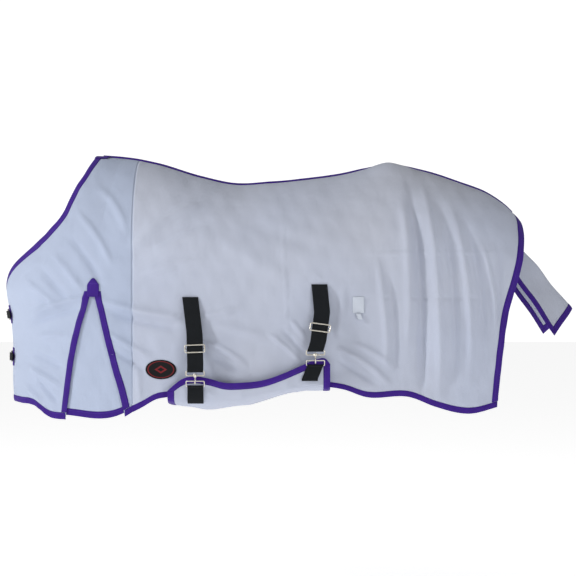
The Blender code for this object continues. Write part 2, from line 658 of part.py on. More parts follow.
def grid_normals(points, towards):
    """Unit normals of a grid of points, on the side that faces the given direction or point."""
    along, across = np.gradient(points, axis=0), np.gradient(points, axis=1)
    found = np.cross(along, across)
    found /= np.linalg.norm(found, axis=-1, keepdims=True)
    facing = np.sign(np.sum(found * towards, axis=-1, keepdims=True))
    return found * facing


def make_belly_flap():
    points = flap_grid()
    away = points * np.array([0, 1, 1]) - np.array([0.0, 0.0, -0.55])
    normals = grid_normals(points, away)
    flap = grid_shell("belly_flap", points, CLOTH, "white_mesh", normals=normals)
    turned, normals = points.transpose(1, 0, 2)[::-1], normals.transpose(1, 0, 2)[::-1]
    rows = trimmed(three_edges(turned, normals), 0.006, 0.006)
    up, along = turned.shape[0] - 1, turned.shape[1] - 1
    leans = [False] * up + [True] * along + [False] * up
    return [flap, binding("belly_flap_binding", *rows, first_row=leans, ease=FLAP_EASE)]


def three_edges(points, normals, mitre=0.0015):
    """A tape's stations round a grid: down its first column, along its last row, and back up.

    The inner stations lie one row or column in, and part by the mitre at both corners.
    """
    last, far = points.shape[0] - 1, points.shape[1] - 1
    outer = ([(i, 0) for i in range(last)] + [(last, j) for j in range(far)]
             + [(i, far) for i in range(last, -1, -1)])
    inner = [(min(i, last - 1), min(max(j, 1), far - 1)) for i, j in outer]
    outer, inner = tuple(map(list, zip(*outer))), tuple(map(list, zip(*inner)))
    edge, inside = points[outer], points[inner].copy()
    for corner in (last, last + far):
        for k, way in ((corner - 1, -1), (corner + 1, 1)):
            step = inside[k + way] - inside[k]
            inside[k] += step / np.linalg.norm(step) * mitre
    return [edge, inside, normals[outer], normals[inner]]


def clip_bar(strap):
    """The centre of the eye's upper bar, which the strap goes round."""
    x, z = strap["bar"]
    return np.array([x, float(clip_y(x)), z])


def strap_path(strap):
    """The middle line of a surcingle strap, from its sewn top down to the clip's bar."""
    (top_x, top_z), (bar_x, bar_z) = strap["top"], strap["bar"]
    half = WEBBING_WIDTH / 2
    top_y = on_body([top_x - half, top_x + half], top_z, -1, CLOTH / 2 + FIT + WEBBING)[:, 1].min()
    stops = [(top_x, top_z), *strap["run"], (bar_x, bar_z)]
    loop = EYE_WIRE + RUNNING + WEBBING / 2
    line = []
    for x, z in stops:
        share = (top_z - z) / (top_z - bar_z)
        line.append((x, top_y + (clip_y(bar_x) - loop - top_y) * share, z))
    return line


def ribbon(name, path, width, thickness, slot):
    """A strip of webbing with its width along X, following a path of (x, y, z) points."""
    path = np.asarray(path, float)
    lead = np.gradient(path, axis=0)
    flat = np.stack([np.zeros(len(path)), -lead[:, 2], lead[:, 1]], axis=1)
    flat /= np.linalg.norm(flat, axis=1, keepdims=True)
    half = np.array([width / 2, 0, 0])
    side = flat * thickness / 2
    rings = np.stack([path - half + side, path + half + side, path + half - side,
                      path - half - side], axis=1)
    return sweep(name, rings, slot)


def make_strap(name, strap):
    """The webbing: an outer run from the sewn top, round the clip's bar, and back inside it."""
    line = np.array(strap_path(strap))
    bar = clip_bar(strap)
    loop = EYE_WIRE + RUNNING + WEBBING / 2
    gap = 2 * SLIDE_WIRE + 2 * RUNNING + WEBBING
    outer = [line[0], line[1], line[2]]
    turn = [bar + loop * np.array([0, math.cos(a), math.sin(a)])
            for a in np.radians(np.linspace(180, 360, 9))]
    inner = [line[2] + np.array([0, gap, 0]), line[1] + np.array([0, gap, 0])]
    path = [*outer, *turn, *inner]
    return ribbon(f"surcingle_strap_{name}", path, WEBBING_WIDTH, WEBBING, "black_webbing")


def slide_place(strap):
    """Where the slide sits on the strap's straight run, and the run's direction."""
    line = np.array(strap_path(strap))
    start, end = line[1], line[2]
    share = (start[2] - strap["slide"]) / (start[2] - end[2])
    direction = (start - end) / np.linalg.norm(start - end)
    return start + (end - start) * share, direction


def make_slide(name, strap):
    """The length adjuster: a frame in front of the outer run, with its bar behind that run."""
    place, up = slide_place(strap)
    across = np.array([1.0, 0, 0]) - up * up[0]
    across /= np.linalg.norm(across)
    out = np.cross(up, across)
    out *= -np.sign(out[1])
    front = WEBBING / 2 + RUNNING + SLIDE_WIRE
    outline = rounded_rectangle(SLIDE_WIDTH, SLIDE_HEIGHT, 0.0045)
    path = [place + across * a + up * b + out * front for a, b in outline]
    frame = tube(f"slide_{name}", path, SLIDE_WIRE, "nickel", closed=True)
    half = SLIDE_WIDTH / 2
    dip = -(WEBBING / 2 + RUNNING + SLIDE_WIRE * 0.8)
    bend = WEBBING_WIDTH / 2 + 0.0022
    stations = [(-half, front), (-bend - 0.001, front * 0.2), (-bend + 0.0015, dip), (0, dip),
                (bend - 0.0015, dip), (bend + 0.001, front * 0.2), (half, front)]
    bar = tube(f"slide_bar_{name}", [place + across * a + out * o for a, o in stations],
               SLIDE_WIRE * 0.8, "nickel")
    combine(frame, bar, "UNION")
    return frame


def make_clip(name, strap):
    """The swivel clip under the strap: its eye, its hook and its sprung gate."""
    centre = clip_bar(strap)
    low = -EYE_HEIGHT
    outline = rounded_rectangle(EYE_WIDTH, EYE_HEIGHT, 0.0040)
    path = [centre + np.array([a, 0, b + low / 2]) for a, b in outline]
    eye = tube(f"clip_eye_{name}", path, EYE_WIRE, "nickel", closed=True)
    half = COLLAR_HEIGHT / 2
    collar = lathe(f"cut_collar_{name}", [(COLLAR_RADIUS, low - half), (COLLAR_RADIUS, low + half)],
                   centre, "nickel")
    bore = lathe(f"cut_bore_{name}", [(COLLAR_BORE, low - 2 * half), (COLLAR_BORE, low + 2 * half)],
                 centre, "nickel")
    combine(eye, collar, "UNION")
    combine(eye, bore, "DIFFERENCE")
    shaft, head = COLLAR_BORE - RUNNING, COLLAR_RADIUS - 0.0016
    over, under = low + half + RUNNING, low - half - RUNNING
    profile = [(shaft * 0.5, over + 0.0020), (head, over + 0.0020), (head, over), (shaft, over),
               (shaft, under), (head, under), (head, under - 0.0022), (shaft * 0.5, under - 0.0022)]
    hook = lathe(f"clip_hook_{name}", profile[::-1], centre, "nickel")
    bend = [centre + np.array([0, 0, under - 0.0010]), centre + np.array([0, 0, under - 0.0034])]
    for angle in np.radians(np.linspace(104, 375, 15)):
        bend.append(centre + np.array([0, -HOOK_RADIUS * math.cos(angle),
                                       HOOK_RADIUS * math.sin(angle) - HOOK_DROP]))
    combine(hook, tube(f"cut_bend_{name}", bend, HOOK_WIRE, "nickel"), "UNION")
    gate_pivot = centre + np.array([0, -0.0036, -0.0246])
    gate_end = centre + np.array([0, -0.0074, -0.0277])
    gate = tube(f"clip_gate_{name}", [gate_pivot, (gate_pivot + gate_end) / 2, gate_end],
                GATE_WIRE, "nickel")
    return eye, hook, gate, gate_pivot


def tab_line(x, z_top, long):
    """The outer face of the belly flap at x, from a height down, as a line of points."""
    line = flap_section(x)
    line = line[line[:, 1] < 0.0]
    drop = np.interp(-z_top, -line[:, 2], np.concatenate(
        [[0], np.cumsum(np.linalg.norm(np.diff(line, axis=0), axis=1))]))
    return resample(line, drop + np.linspace(0, long, 9))


def ring_places(strap):
    """The ring's two bars: the one in the tab's fold and the one in the hook."""
    hooked = clip_bar(strap) - np.array([0, 0, HOOK_DROP])
    sewn = CLOTH / 2 + FLAP_EASE + 2 * FIT + TAPE + WEBBING
    ends = hooked[0] + np.array([-0.5, 0.5]) * WEBBING_WIDTH
    held_y = -float(flap_y(ends).max()) - sewn - FIT - RUNNING - RING_WIRE
    across = held_y - hooked[1]
    return np.array([hooked[0], held_y, hooked[2] - math.sqrt(RING_REACH**2 - across**2)]), hooked


def make_ring_and_tab(name, strap):
    """The webbing tab sewn on the flap, and the wire ring that its fold holds."""
    held, hooked = ring_places(strap)
    across = np.array([1.0, 0, 0])
    rise = hooked - held
    long = np.linalg.norm(rise)
    rise /= long
    outline = rounded_rectangle(RING_WIDTH, long, 0.0035)
    middle = (held + hooked) / 2
    path = [middle + across * a + rise * b for a, b in outline]
    ring = tube(f"keeper_ring_{name}", path, RING_WIRE, "nickel", closed=True)
    loop = RING_WIRE + RUNNING + WEBBING / 2
    turn = [held + loop * np.array([0, math.cos(a), math.sin(a)])
            for a in np.radians(np.linspace(10, 245, 10))]
    low = CLOTH / 2 + FLAP_EASE + 3 * FIT + TAPE + WEBBING / 2
    high = low + FIT + WEBBING
    edges = []
    for half in (-WEBBING_WIDTH / 2, WEBBING_WIDTH / 2):
        under = tab_line(held[0] + half, held[2] - 0.006, strap["tab_long"])
        lead = np.gradient(under, axis=0)
        out = np.stack([np.zeros(len(under)), lead[:, 2], -lead[:, 1]], axis=1)
        out /= np.linalg.norm(out, axis=1, keepdims=True)
        fold = np.array(turn) + np.array([half, 0, 0])
        line = np.concatenate([(under + out * low)[::-1], fold, (under + out * high)])
        fall = np.clip((held[2] - line[:, 2]) / strap["tab_long"], 0, 1)
        line[:, 0] += strap["tab_lean"] * fall
        edges.append(line)
    tab = grid_shell(f"belly_tab_{name}", np.stack(edges), WEBBING, "black_webbing")
    return ring, tab, held


# --- Trims on the near and off sides -------------------------------------------------------------
def make_badge():
    """The oval badge, plain, near the front of the near side's hem."""
    x0, z0, rx, rz = 0.2115, -0.7034, 0.050, 0.031
    rings, sectors = (0.35, 0.7, 1.0), 20
    lift = CLOTH / 2 + FIT + PATCH / 2
    points, faces = [on_body(x0, z0, -1, lift)], []
    for r in rings:
        for k in range(sectors):
            t = 2 * math.pi * k / sectors
            points.append(on_body(x0 + rx * r * math.cos(t), z0 + rz * r * math.sin(t), -1, lift))
    for k in range(sectors):
        faces.append((0, 1 + k, 1 + (k + 1) % sectors))
    for ring in range(len(rings) - 1):
        for k in range(sectors):
            a, b = 1 + ring * sectors + k, 1 + ring * sectors + (k + 1) % sectors
            faces += [(a, a + sectors, b), (b, a + sectors, b + sectors)]
    shell("badge", np.array(points), faces, PATCH, "badge")


def make_leg_loop(name, side):
    """The flat webbing patch at the flank with its small loop, for a leg strap."""
    x0, z0, half_w, half_h = 0.844, -0.496, 0.0185, 0.0265
    corners = on_body([x0 - half_w, x0 + half_w], [z0, z0], side, CLOTH / 2 + FIT + PATCH / 2)
    lie = corners[1] - corners[0]
    lie /= np.linalg.norm(lie)
    out = np.cross(lie, [0, 0, 1.0])
    out *= side * np.sign(out[1])
    middle = on_body(x0, z0, side, CLOTH / 2 + 2 * FIT + PATCH / 2)
    rows = [[middle + lie * a + np.array([0, 0, b]) for a in (-half_w, half_w)]
            for b in (-half_h, half_h)]
    grid_shell(f"loop_patch_{name}", np.array(rows), PATCH, "white_webbing")
    path = []
    for a, b, o in ((-0.002, -half_h - 0.0008, 0.0), (0.001, -0.034, 0.0006), (0.004, -0.043, 0.0024),
                    (0.0055, -0.0465, 0.0048), (0.0050, -0.0455, 0.0072), (0.002, -0.037, 0.0068),
                    (-0.001, -half_h - 0.0010, 0.0042)):
        path.append(middle + lie * a + np.array([0, 0, b]) + out * o)
    ribbon(f"leg_loop_{name}", path, 0.015, 0.0010, "white_webbing")


# --- Chest closure -------------------------------------------------------------------------------
def on_front(across, z, lift):
    """A point this far round the chest from its centre line, positive towards the near side."""
    angle = 90 - math.degrees(abs(across) / half_width(SEAM_X))
    return on_chest(angle, z, 1 if across < 0 else -1, lift)


def chest_strip(name, level, stops, width, thickness, slot, holes=()):
    """A strip laid round the chest through stops (distance from the centre line, lift)."""
    heights = (-width / 2, -0.0027, 0.0027, width / 2) if holes else (-width / 2, 0.0, width / 2)
    rows = [[on_front(a, level + h, lift) for a, lift in stops] for h in heights]
    return grid_shell(name, np.array(rows), thickness, slot, {(1, hole) for hole in holes})


def make_chest_closure(name, level):
    """One chest fastening: two sewn patches, the chape, the buckle with its prong, the strap."""
    laid = CLOTH / 2 + 2 * FIT + PATCH / 2
    for side_name, turn in (("left", 1), ("right", -1)):
        stops = [(turn * d, laid) for d in (0.008, 0.022, 0.038, 0.054, 0.068)]
        rows = [[on_front(a, level + h, lift) for a, lift in stops]
                for h in (-0.030, -0.010, 0.010, 0.030)]
        grid_shell(f"chest_patch_{name}_{side_name}", np.array(rows), PATCH, "purple_tape")
    layer = WEBBING + RUNNING
    low = laid + PATCH / 2 + FIT + WEBBING / 2
    heel_lift = low + WEBBING / 2 + RUNNING + BUCKLE_WIRE
    upper = heel_lift + BUCKLE_WIRE + RUNNING + WEBBING / 2
    over = upper + layer
    toe, heel = 0.004, 0.004 + BUCKLE_LENGTH
    stops = [*[(x, low) for x in np.linspace(-0.062, -0.004, 7)], (toe + 0.0025, low),
             (toe + 0.006, low + 0.0015), (heel - 0.010, over), (heel + 0.0005, over),
             (heel + 0.012, over), (heel + 0.030, over), (heel + 0.046, over - 0.002)]
    chest_strip(f"chest_strap_{name}", level, stops, CHEST_STRAP_WIDTH, WEBBING, "black_webbing", (9,))
    turn = BUCKLE_WIRE + RUNNING + WEBBING / 2
    fold = [(heel - turn * math.sin(t), heel_lift - turn * math.cos(t))
            for t in np.radians(np.linspace(0, 180, 7))]
    stops = [(heel + 0.026, low), (heel + 0.012, low), *fold, (heel + 0.010, upper),
             (heel + 0.022, upper)]
    chest_strip(f"chest_chape_{name}", level, stops, CHEST_STRAP_WIDTH - 0.001, WEBBING,
                "black_webbing", tuple(range(1, 9)))
    return make_chest_buckle(name, level, toe, heel, heel_lift, over)


def make_chest_buckle(name, level, toe, heel, heel_lift, over):
    """The buckle's frame, and the prong that turns on its heel bar and rests on its toe bar."""
    start, end = on_front(heel, level, heel_lift), on_front(toe, level, heel_lift)
    along = end - start
    long = np.linalg.norm(along)
    along /= long
    middle = (toe + heel) / 2
    up = on_front(middle, level + 0.01, heel_lift) - on_front(middle, level - 0.01, heel_lift)
    up -= along * np.dot(up, along)
    up /= np.linalg.norm(up)
    out = np.cross(along, up)
    out *= np.sign(np.dot(out, start - np.array([SEAM_X, 0.0, level])))
    tall = CHEST_STRAP_WIDTH + 2 * (BUCKLE_WIRE + 0.0022)
    outline = rounded_rectangle(long, tall, 0.0035)
    middle = (start + end) / 2
    tube(f"chest_buckle_{name}", [middle + along * a + up * b for a, b in outline],
         BUCKLE_WIRE, "nickel", closed=True)
    wire = GATE_WIRE
    ring = BUCKLE_WIRE + RUNNING + wire
    path = [start + ring * (along * math.cos(t) + out * math.sin(t))
            for t in np.radians(np.linspace(-55, 20, 5))]
    clear = over - heel_lift + WEBBING / 2 + RUNNING + wire
    path += [start + along * 0.0068 + out * clear, start + along * 0.0095 + out * (clear + 0.0008),
             end + out * ring - along * 0.002, end + out * (ring - 0.0002) + along * 0.004]
    return tube(f"chest_prong_{name}", path, wire, "nickel"), start


# --- Tail flap -----------------------------------------------------------------------------------
def make_tail_flap():
    """The flap over the dock: a roof along its ridge, with one tape round its three free edges."""
    ridge = TAIL_TIP - TAIL_PIVOT
    rows = np.concatenate([np.linspace(0, 1 - TAPE_WIDTH / ridge.length, 8), [1]])
    slant = math.hypot(TAIL_HALF_WIDTH, *TAIL_SIDE_FALL)
    half = np.concatenate([np.linspace(0, 1 - TAPE_WIDTH / slant, 5), [1]])
    columns = np.concatenate([-half[:0:-1], half])
    round_top = np.sqrt(columns**2 + 0.03) - math.sqrt(0.03)
    round_top /= round_top[-1]
    points = np.zeros((len(rows), len(columns), 3))
    for i, s in enumerate(rows):
        spread = 0.62 + 0.38 * s
        points[i] = np.array(TAIL_PIVOT + ridge * s)
        points[i, :, 0] += TAIL_SIDE_FALL[0] * round_top * spread
        points[i, :, 1] = TAIL_HALF_WIDTH * columns * (0.88 + 0.12 * s)
        points[i, :, 2] += TAIL_SIDE_FALL[1] * round_top * spread
    normals = grid_normals(points, np.array([0.7, 0.0, 0.7]))
    flap = grid_shell("tail_flap", points, CLOTH, "white_mesh", normals=normals)
    tape = binding("tail_flap_binding", *three_edges(points, normals), first_row=False)
    return [flap, tape]


def main():
    for obj in list(bpy.data.objects):
        bpy.data.objects.remove(obj, do_unlink=True)
    for name, side in SIDES.items():
        make_body_panel(name, side)
        make_shoulder_panel(name, side)
        make_shoulder_bindings(name, side)
        make_body_bindings(name, side)
        make_gusset(name, side)
        make_gusset_cap(name, side)
        make_leg_loop(name, side)
    make_spine()
    make_wither_patch()
    make_badge()
    flap_pieces = make_belly_flap()
    for name, strap in STRAPS.items():
        make_strap(name, strap)
        pivot(f"slide_{name}_rest", slide_place(strap)[0], [make_slide(name, strap)])
        eye, hook, gate, gate_pivot = make_clip(name, strap)
        ring, tab, held = make_ring_and_tab(name, strap)
        gate_axis = pivot(f"clip_gate_{name}_axis", gate_pivot, [gate])
        hook_axis = pivot(f"clip_hook_{name}_axis", clip_bar(strap), [hook, gate_axis])
        pivot(f"clip_eye_{name}_axis", clip_bar(strap), [eye, hook_axis])
        flap_pieces += [tab, pivot(f"keeper_ring_{name}_axis", held, [ring])]
    middle = (FLAP_FRONT_X + FLAP_REAR_X) / 2
    pivot("belly_flap_axis", (middle, *flap_seam(middle)), flap_pieces)
    for name, level in CHEST_ROWS.items():
        prong, heel = make_chest_closure(name, level)
        pivot(f"chest_prong_{name}_axis", heel, [prong])
    pivot("tail_flap_axis", TAIL_PIVOT, make_tail_flap())


main()
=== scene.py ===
"""Looks of a mesh fly sheet for a horse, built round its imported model.

The sheet hangs in the shape of the animal. Every soft piece is a surface worked out with numpy from
the same body shape as the model, with folds laid over it by formula. Every metal fitting is a wire
carried along the path that it has in the model.
"""

from __future__ import annotations

import logging
import math
from dataclasses import dataclass
from enum import Enum
from typing import Callable

import bpy
import numpy as np
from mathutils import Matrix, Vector


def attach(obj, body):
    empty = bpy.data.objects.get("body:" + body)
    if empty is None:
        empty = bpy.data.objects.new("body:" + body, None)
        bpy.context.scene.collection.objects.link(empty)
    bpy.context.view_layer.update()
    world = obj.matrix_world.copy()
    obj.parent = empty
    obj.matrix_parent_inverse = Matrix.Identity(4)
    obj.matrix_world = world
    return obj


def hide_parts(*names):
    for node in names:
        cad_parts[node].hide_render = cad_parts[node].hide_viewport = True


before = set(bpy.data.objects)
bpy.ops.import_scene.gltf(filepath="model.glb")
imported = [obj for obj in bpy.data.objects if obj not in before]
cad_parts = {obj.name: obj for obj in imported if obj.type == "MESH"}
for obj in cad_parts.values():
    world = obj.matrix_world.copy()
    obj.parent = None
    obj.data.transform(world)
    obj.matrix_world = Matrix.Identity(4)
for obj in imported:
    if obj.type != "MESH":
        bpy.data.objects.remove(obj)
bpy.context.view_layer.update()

Array = np.ndarray
Surface = Callable[[Array, Array, int], Array]
LOG = logging.getLogger("fly_sheet")

CLOTH = 0.0010
TAPE_WIDTH = 0.020
TAPE = 0.0007
FIT = 0.00035
CENTRE_GAP = 0.003
WEBBING_WIDTH = 0.051
WEBBING = 0.0017
PATCH = 0.0014
SEAM_X = 0.118
TUCK = 0.012
GUSSET_INSET = 0.0050
RUNNING = 0.0004
FAN_RADIUS = 0.425
SKIRT = 0.550
CREST = TAPE_WIDTH / (0.3 * math.pi / 2)
RIGHT_ANGLE = 90.0


class Side(Enum):
    """The two halves of the sheet; the value is the sign of Y."""

    LEFT = -1
    RIGHT = 1

    @property
    def word(self) -> str:
        """The side's name in the names of pieces."""
        return self.name.lower()


class Slot(Enum):
    """The material slots of the record."""

    MESH = "white_mesh"
    TAPE = "purple_tape"
    BLACK = "black_webbing"
    WHITE = "white_webbing"
    NICKEL = "nickel"
    BADGE = "badge"


# --- Lines and the body shape --------------------------------------------------------------------
@dataclass(frozen=True)
class Line:
    """A smooth line through knots (x, y), made of cubic pieces."""

    knots: tuple[tuple[float, float], ...]

    def __call__(self, x: Array | float) -> Array:
        """Gives y at x: each piece blends its two knots, and its ends lean as its neighbours do.

        Args:
            x: One value or an array, held within the first and last knot.

        Returns:
            The height of the line at each x.
        """
        xs, ys = np.array(self.knots, float).T
        gaps, rises = np.diff(xs), np.diff(ys)
        slopes = rises / gaps
        inner = (slopes[:-1] * gaps[1:] + slopes[1:] * gaps[:-1]) / (gaps[:-1] + gaps[1:])
        leans = np.concatenate([slopes[:1], inner, slopes[-1:]])
        x = np.clip(np.asarray(x, float), xs[0], xs[-1])
        i = np.clip(np.searchsorted(xs, x, side="right") - 1, 0, len(gaps) - 1)
        t = (x - xs[i]) / gaps[i]
        lean = t * (1 - t) * ((1 - t) * leans[i] - t * leans[i + 1]) * gaps[i]
        return ys[i] + rises[i] * t * t * (3 - 2 * t) + lean


SPINE = Line(((-0.3, 0.0), (0.0, 0.0), (0.09, -0.008), (0.184, -0.027), (0.32, -0.068),
              (0.44, -0.093), (0.56, -0.088), (0.694, -0.075), (0.80, -0.060), (0.88, -0.043),
              (0.96, -0.030), (1.06, -0.045), (1.20, -0.088), (1.30, -0.128), (1.36, -0.170),
              (1.42, -0.235)))
HALF_WIDTH = Line(((0.0, 0.250), (0.12, 0.272), (0.30, 0.296), (0.50, 0.308), (0.80, 0.302),
                   (1.00, 0.288), (1.20, 0.262), (1.32, 0.230), (1.42, 0.185)))
CROWN = Line(((0.0, 0.285), (0.5, 0.275), (0.95, 0.275), (1.2, 0.250), (1.42, 0.210)))
HEM = Line(((0.094, -0.853), (0.150, -0.824), (0.196, -0.798), (0.236, -0.790), (0.50, -0.7715),
            (0.735, -0.7555), (0.80, -0.766), (0.862, -0.788), (1.015, -0.792), (1.092, -0.822),
            (1.207, -0.846), (1.30, -0.826)))
REAR_EDGE = Line(((0.0, 1.400), (0.5, 1.396), (1.0, 1.372), (1.3, 1.337), (1.6, 1.316),
                  (2.0, 1.297)))
CHEST = Line(((-0.87, -0.303), (-0.75, -0.311), (-0.65, -0.310), (-0.54, -0.318),
              (-0.44, -0.333), (-0.374, -0.322), (-0.306, -0.295), (-0.218, -0.250),
              (-0.116, -0.190), (-0.051, -0.150), (0.0, -0.120)))
NECK = Line(((0.0, 35.4), (0.39, 36.4), (0.60, 38.8), (0.86, 43.0), (1.03, 55.9), (1.15, 73.1),
             (1.27, 90.0)))
NECK_END = 1.27
TIP_ANGLE, TIP_DEPTH = 16.3, 1.216
SLIT_REAR = Line(((1.216, 16.3), (1.32, 15.2), (1.50, 12.4), (1.69, 8.9), (1.85, 5.6), (2.0, 3.3)))
SLIT_FRONT = Line(((1.216, 16.3), (1.32, 18.6), (1.47, 23.0), (1.64, 26.6), (1.80, 28.8),
                   (2.0, 31.6)))
FRONT_HEM = Line(((0.0, -0.840), (3.3, -0.855), (31.6, -0.867), (40.5, -0.862), (51.0, -0.828),
                  (65.0, -0.821), (90.0, -0.819)))
HIP_LIFT, HIP_X, HIP_Y, HIP_SPREAD = 0.020, 0.95, 0.105, 0.060
SLIT_AT_SPINE = 12.0


def body(x: Array, depth: Array, side: int) -> Array:
    """A body panel's mid surface: a quarter ellipse from the spine, then a skirt to the hem.

    Args:
        x: Place along the back.
        depth: 0 on the spine, 1 at the widest line and 2 at the hem.
        side: -1 for the near side, 1 for the off side.

    Returns:
        Points, with a last axis of three.
    """
    x, depth = np.broadcast_arrays(np.asarray(x, float), np.asarray(depth, float))
    angle = np.clip(depth, 0, 1) * math.pi / 2
    skirt = np.clip(depth - 1, 0, 1)
    widest = SPINE(x) - CROWN(x)
    z = SPINE(x) - CROWN(x) * (1 - np.cos(angle)) + skirt * (HEM(x) - widest)
    y = HALF_WIDTH(x) * np.sin(angle) - TUCK * skirt
    hip = np.exp(-(((x - HIP_X) / 0.09) ** 2) - ((y - HIP_Y) / HIP_SPREAD) ** 2)
    return np.stack([x, side * (y + CENTRE_GAP / 2), z + HIP_LIFT * hip], axis=-1)


def shoulder(degrees: Array, depth: Array, side: int) -> Array:
    """A shoulder panel's mid surface: the seam's section fanned round to the chest.

    Args:
        degrees: Fan angle, 0 at the seam and 90 on the centre line of the chest.
        depth: 0 on the spine, 1 at the widest line and 2 at the hem.
        side: -1 for the near side, 1 for the off side.

    Returns:
        Points, with a last axis of three.
    """
    degrees, depth = np.broadcast_arrays(np.asarray(degrees, float), np.asarray(depth, float))
    angle, fan = np.clip(depth, 0, 1) * math.pi / 2, np.radians(degrees)
    skirt = np.clip(depth - 1, 0, 1)
    height, top = CROWN(SEAM_X), SPINE(SEAM_X)
    hem = FRONT_HEM(np.where(degrees > RIGHT_ANGLE, 2 * RIGHT_ANGLE - degrees, degrees))
    level = top - height * (1 - np.cos(angle)) + skirt * (hem - top + height)
    x = SEAM_X - (SEAM_X - CHEST(level)) * np.sin(fan)
    y = (HALF_WIDTH(SEAM_X) * np.sin(angle) - TUCK * skirt) * np.cos(fan)
    z = level + (SPINE(x) - top) * np.cos(angle)
    return np.stack([x, side * (y + CENTRE_GAP / 2), z], axis=-1)


def unit(vectors: Array) -> Array:
    """Vectors along the last axis, made one metre long."""
    return vectors / np.maximum(np.linalg.norm(vectors, axis=-1, keepdims=True), 1e-12)


def normals_of(surface: Surface, a: Array, b: Array, side: int) -> Array:
    """Unit outward normals: the cross product of a surface's two steps.

    Args:
        surface: body or shoulder.
        a: First parameter.
        b: Depth.
        side: -1 or 1.

    Returns:
        One normal for each point.
    """
    a, b = np.broadcast_arrays(np.asarray(a, float), np.asarray(b, float))
    step = 1e-3
    along = surface(a + step, b, side) - surface(a - step, b, side)
    low, high = np.clip(b - step, 0, 2), np.clip(b + step, 0, 2)
    found = unit(np.cross(along, surface(a, high, side) - surface(a, low, side)))
    here = surface(a, b, side) - np.array([SEAM_X if surface is shoulder else 0.0, 0.0, -0.45])
    if surface is body:
        here[..., 0] = 0.0
    return found * np.sign(np.sum(found * here, axis=-1, keepdims=True))


def ramp(value: Array, start: float, end: float) -> Array:
    """Rises smoothly from 0 at start to 1 at end: t squared times (3 - 2t)."""
    t = np.clip((value - start) / (end - start), 0, 1)
    return t * t * (3 - 2 * t)


# --- Folds ---------------------------------------------------------------------------------------
@dataclass(frozen=True)
class Fold:
    """A ridge, or a valley where the height is negative, from start to end on the side view."""

    start: tuple[float, float]
    end: tuple[float, float]
    height: float
    width: float
    bow: float = 0.0

    def lift(self, x: Array, z: Array) -> Array:
        """Height times a bell across the fold, times a taper that dies out at both ends.

        Args:
            x: Place along the back.
            z: Height.

        Returns:
            How far the cloth stands out of the body shape.
        """
        across_x, across_z = x - self.start[0], z - self.start[1]
        run_x, run_z = self.end[0] - self.start[0], self.end[1] - self.start[1]
        long = math.hypot(run_x, run_z)
        t = (across_x * run_x + across_z * run_z) / long**2
        off = (across_z * run_x - across_x * run_z) / long - self.bow * 4 * t * (1 - t)
        taper = ramp(t, -0.12, 0.28) * (1 - ramp(t, 0.72, 1.12))
        return self.height * np.exp(-((off / (self.width * CRISPNESS)) ** 2)) * taper


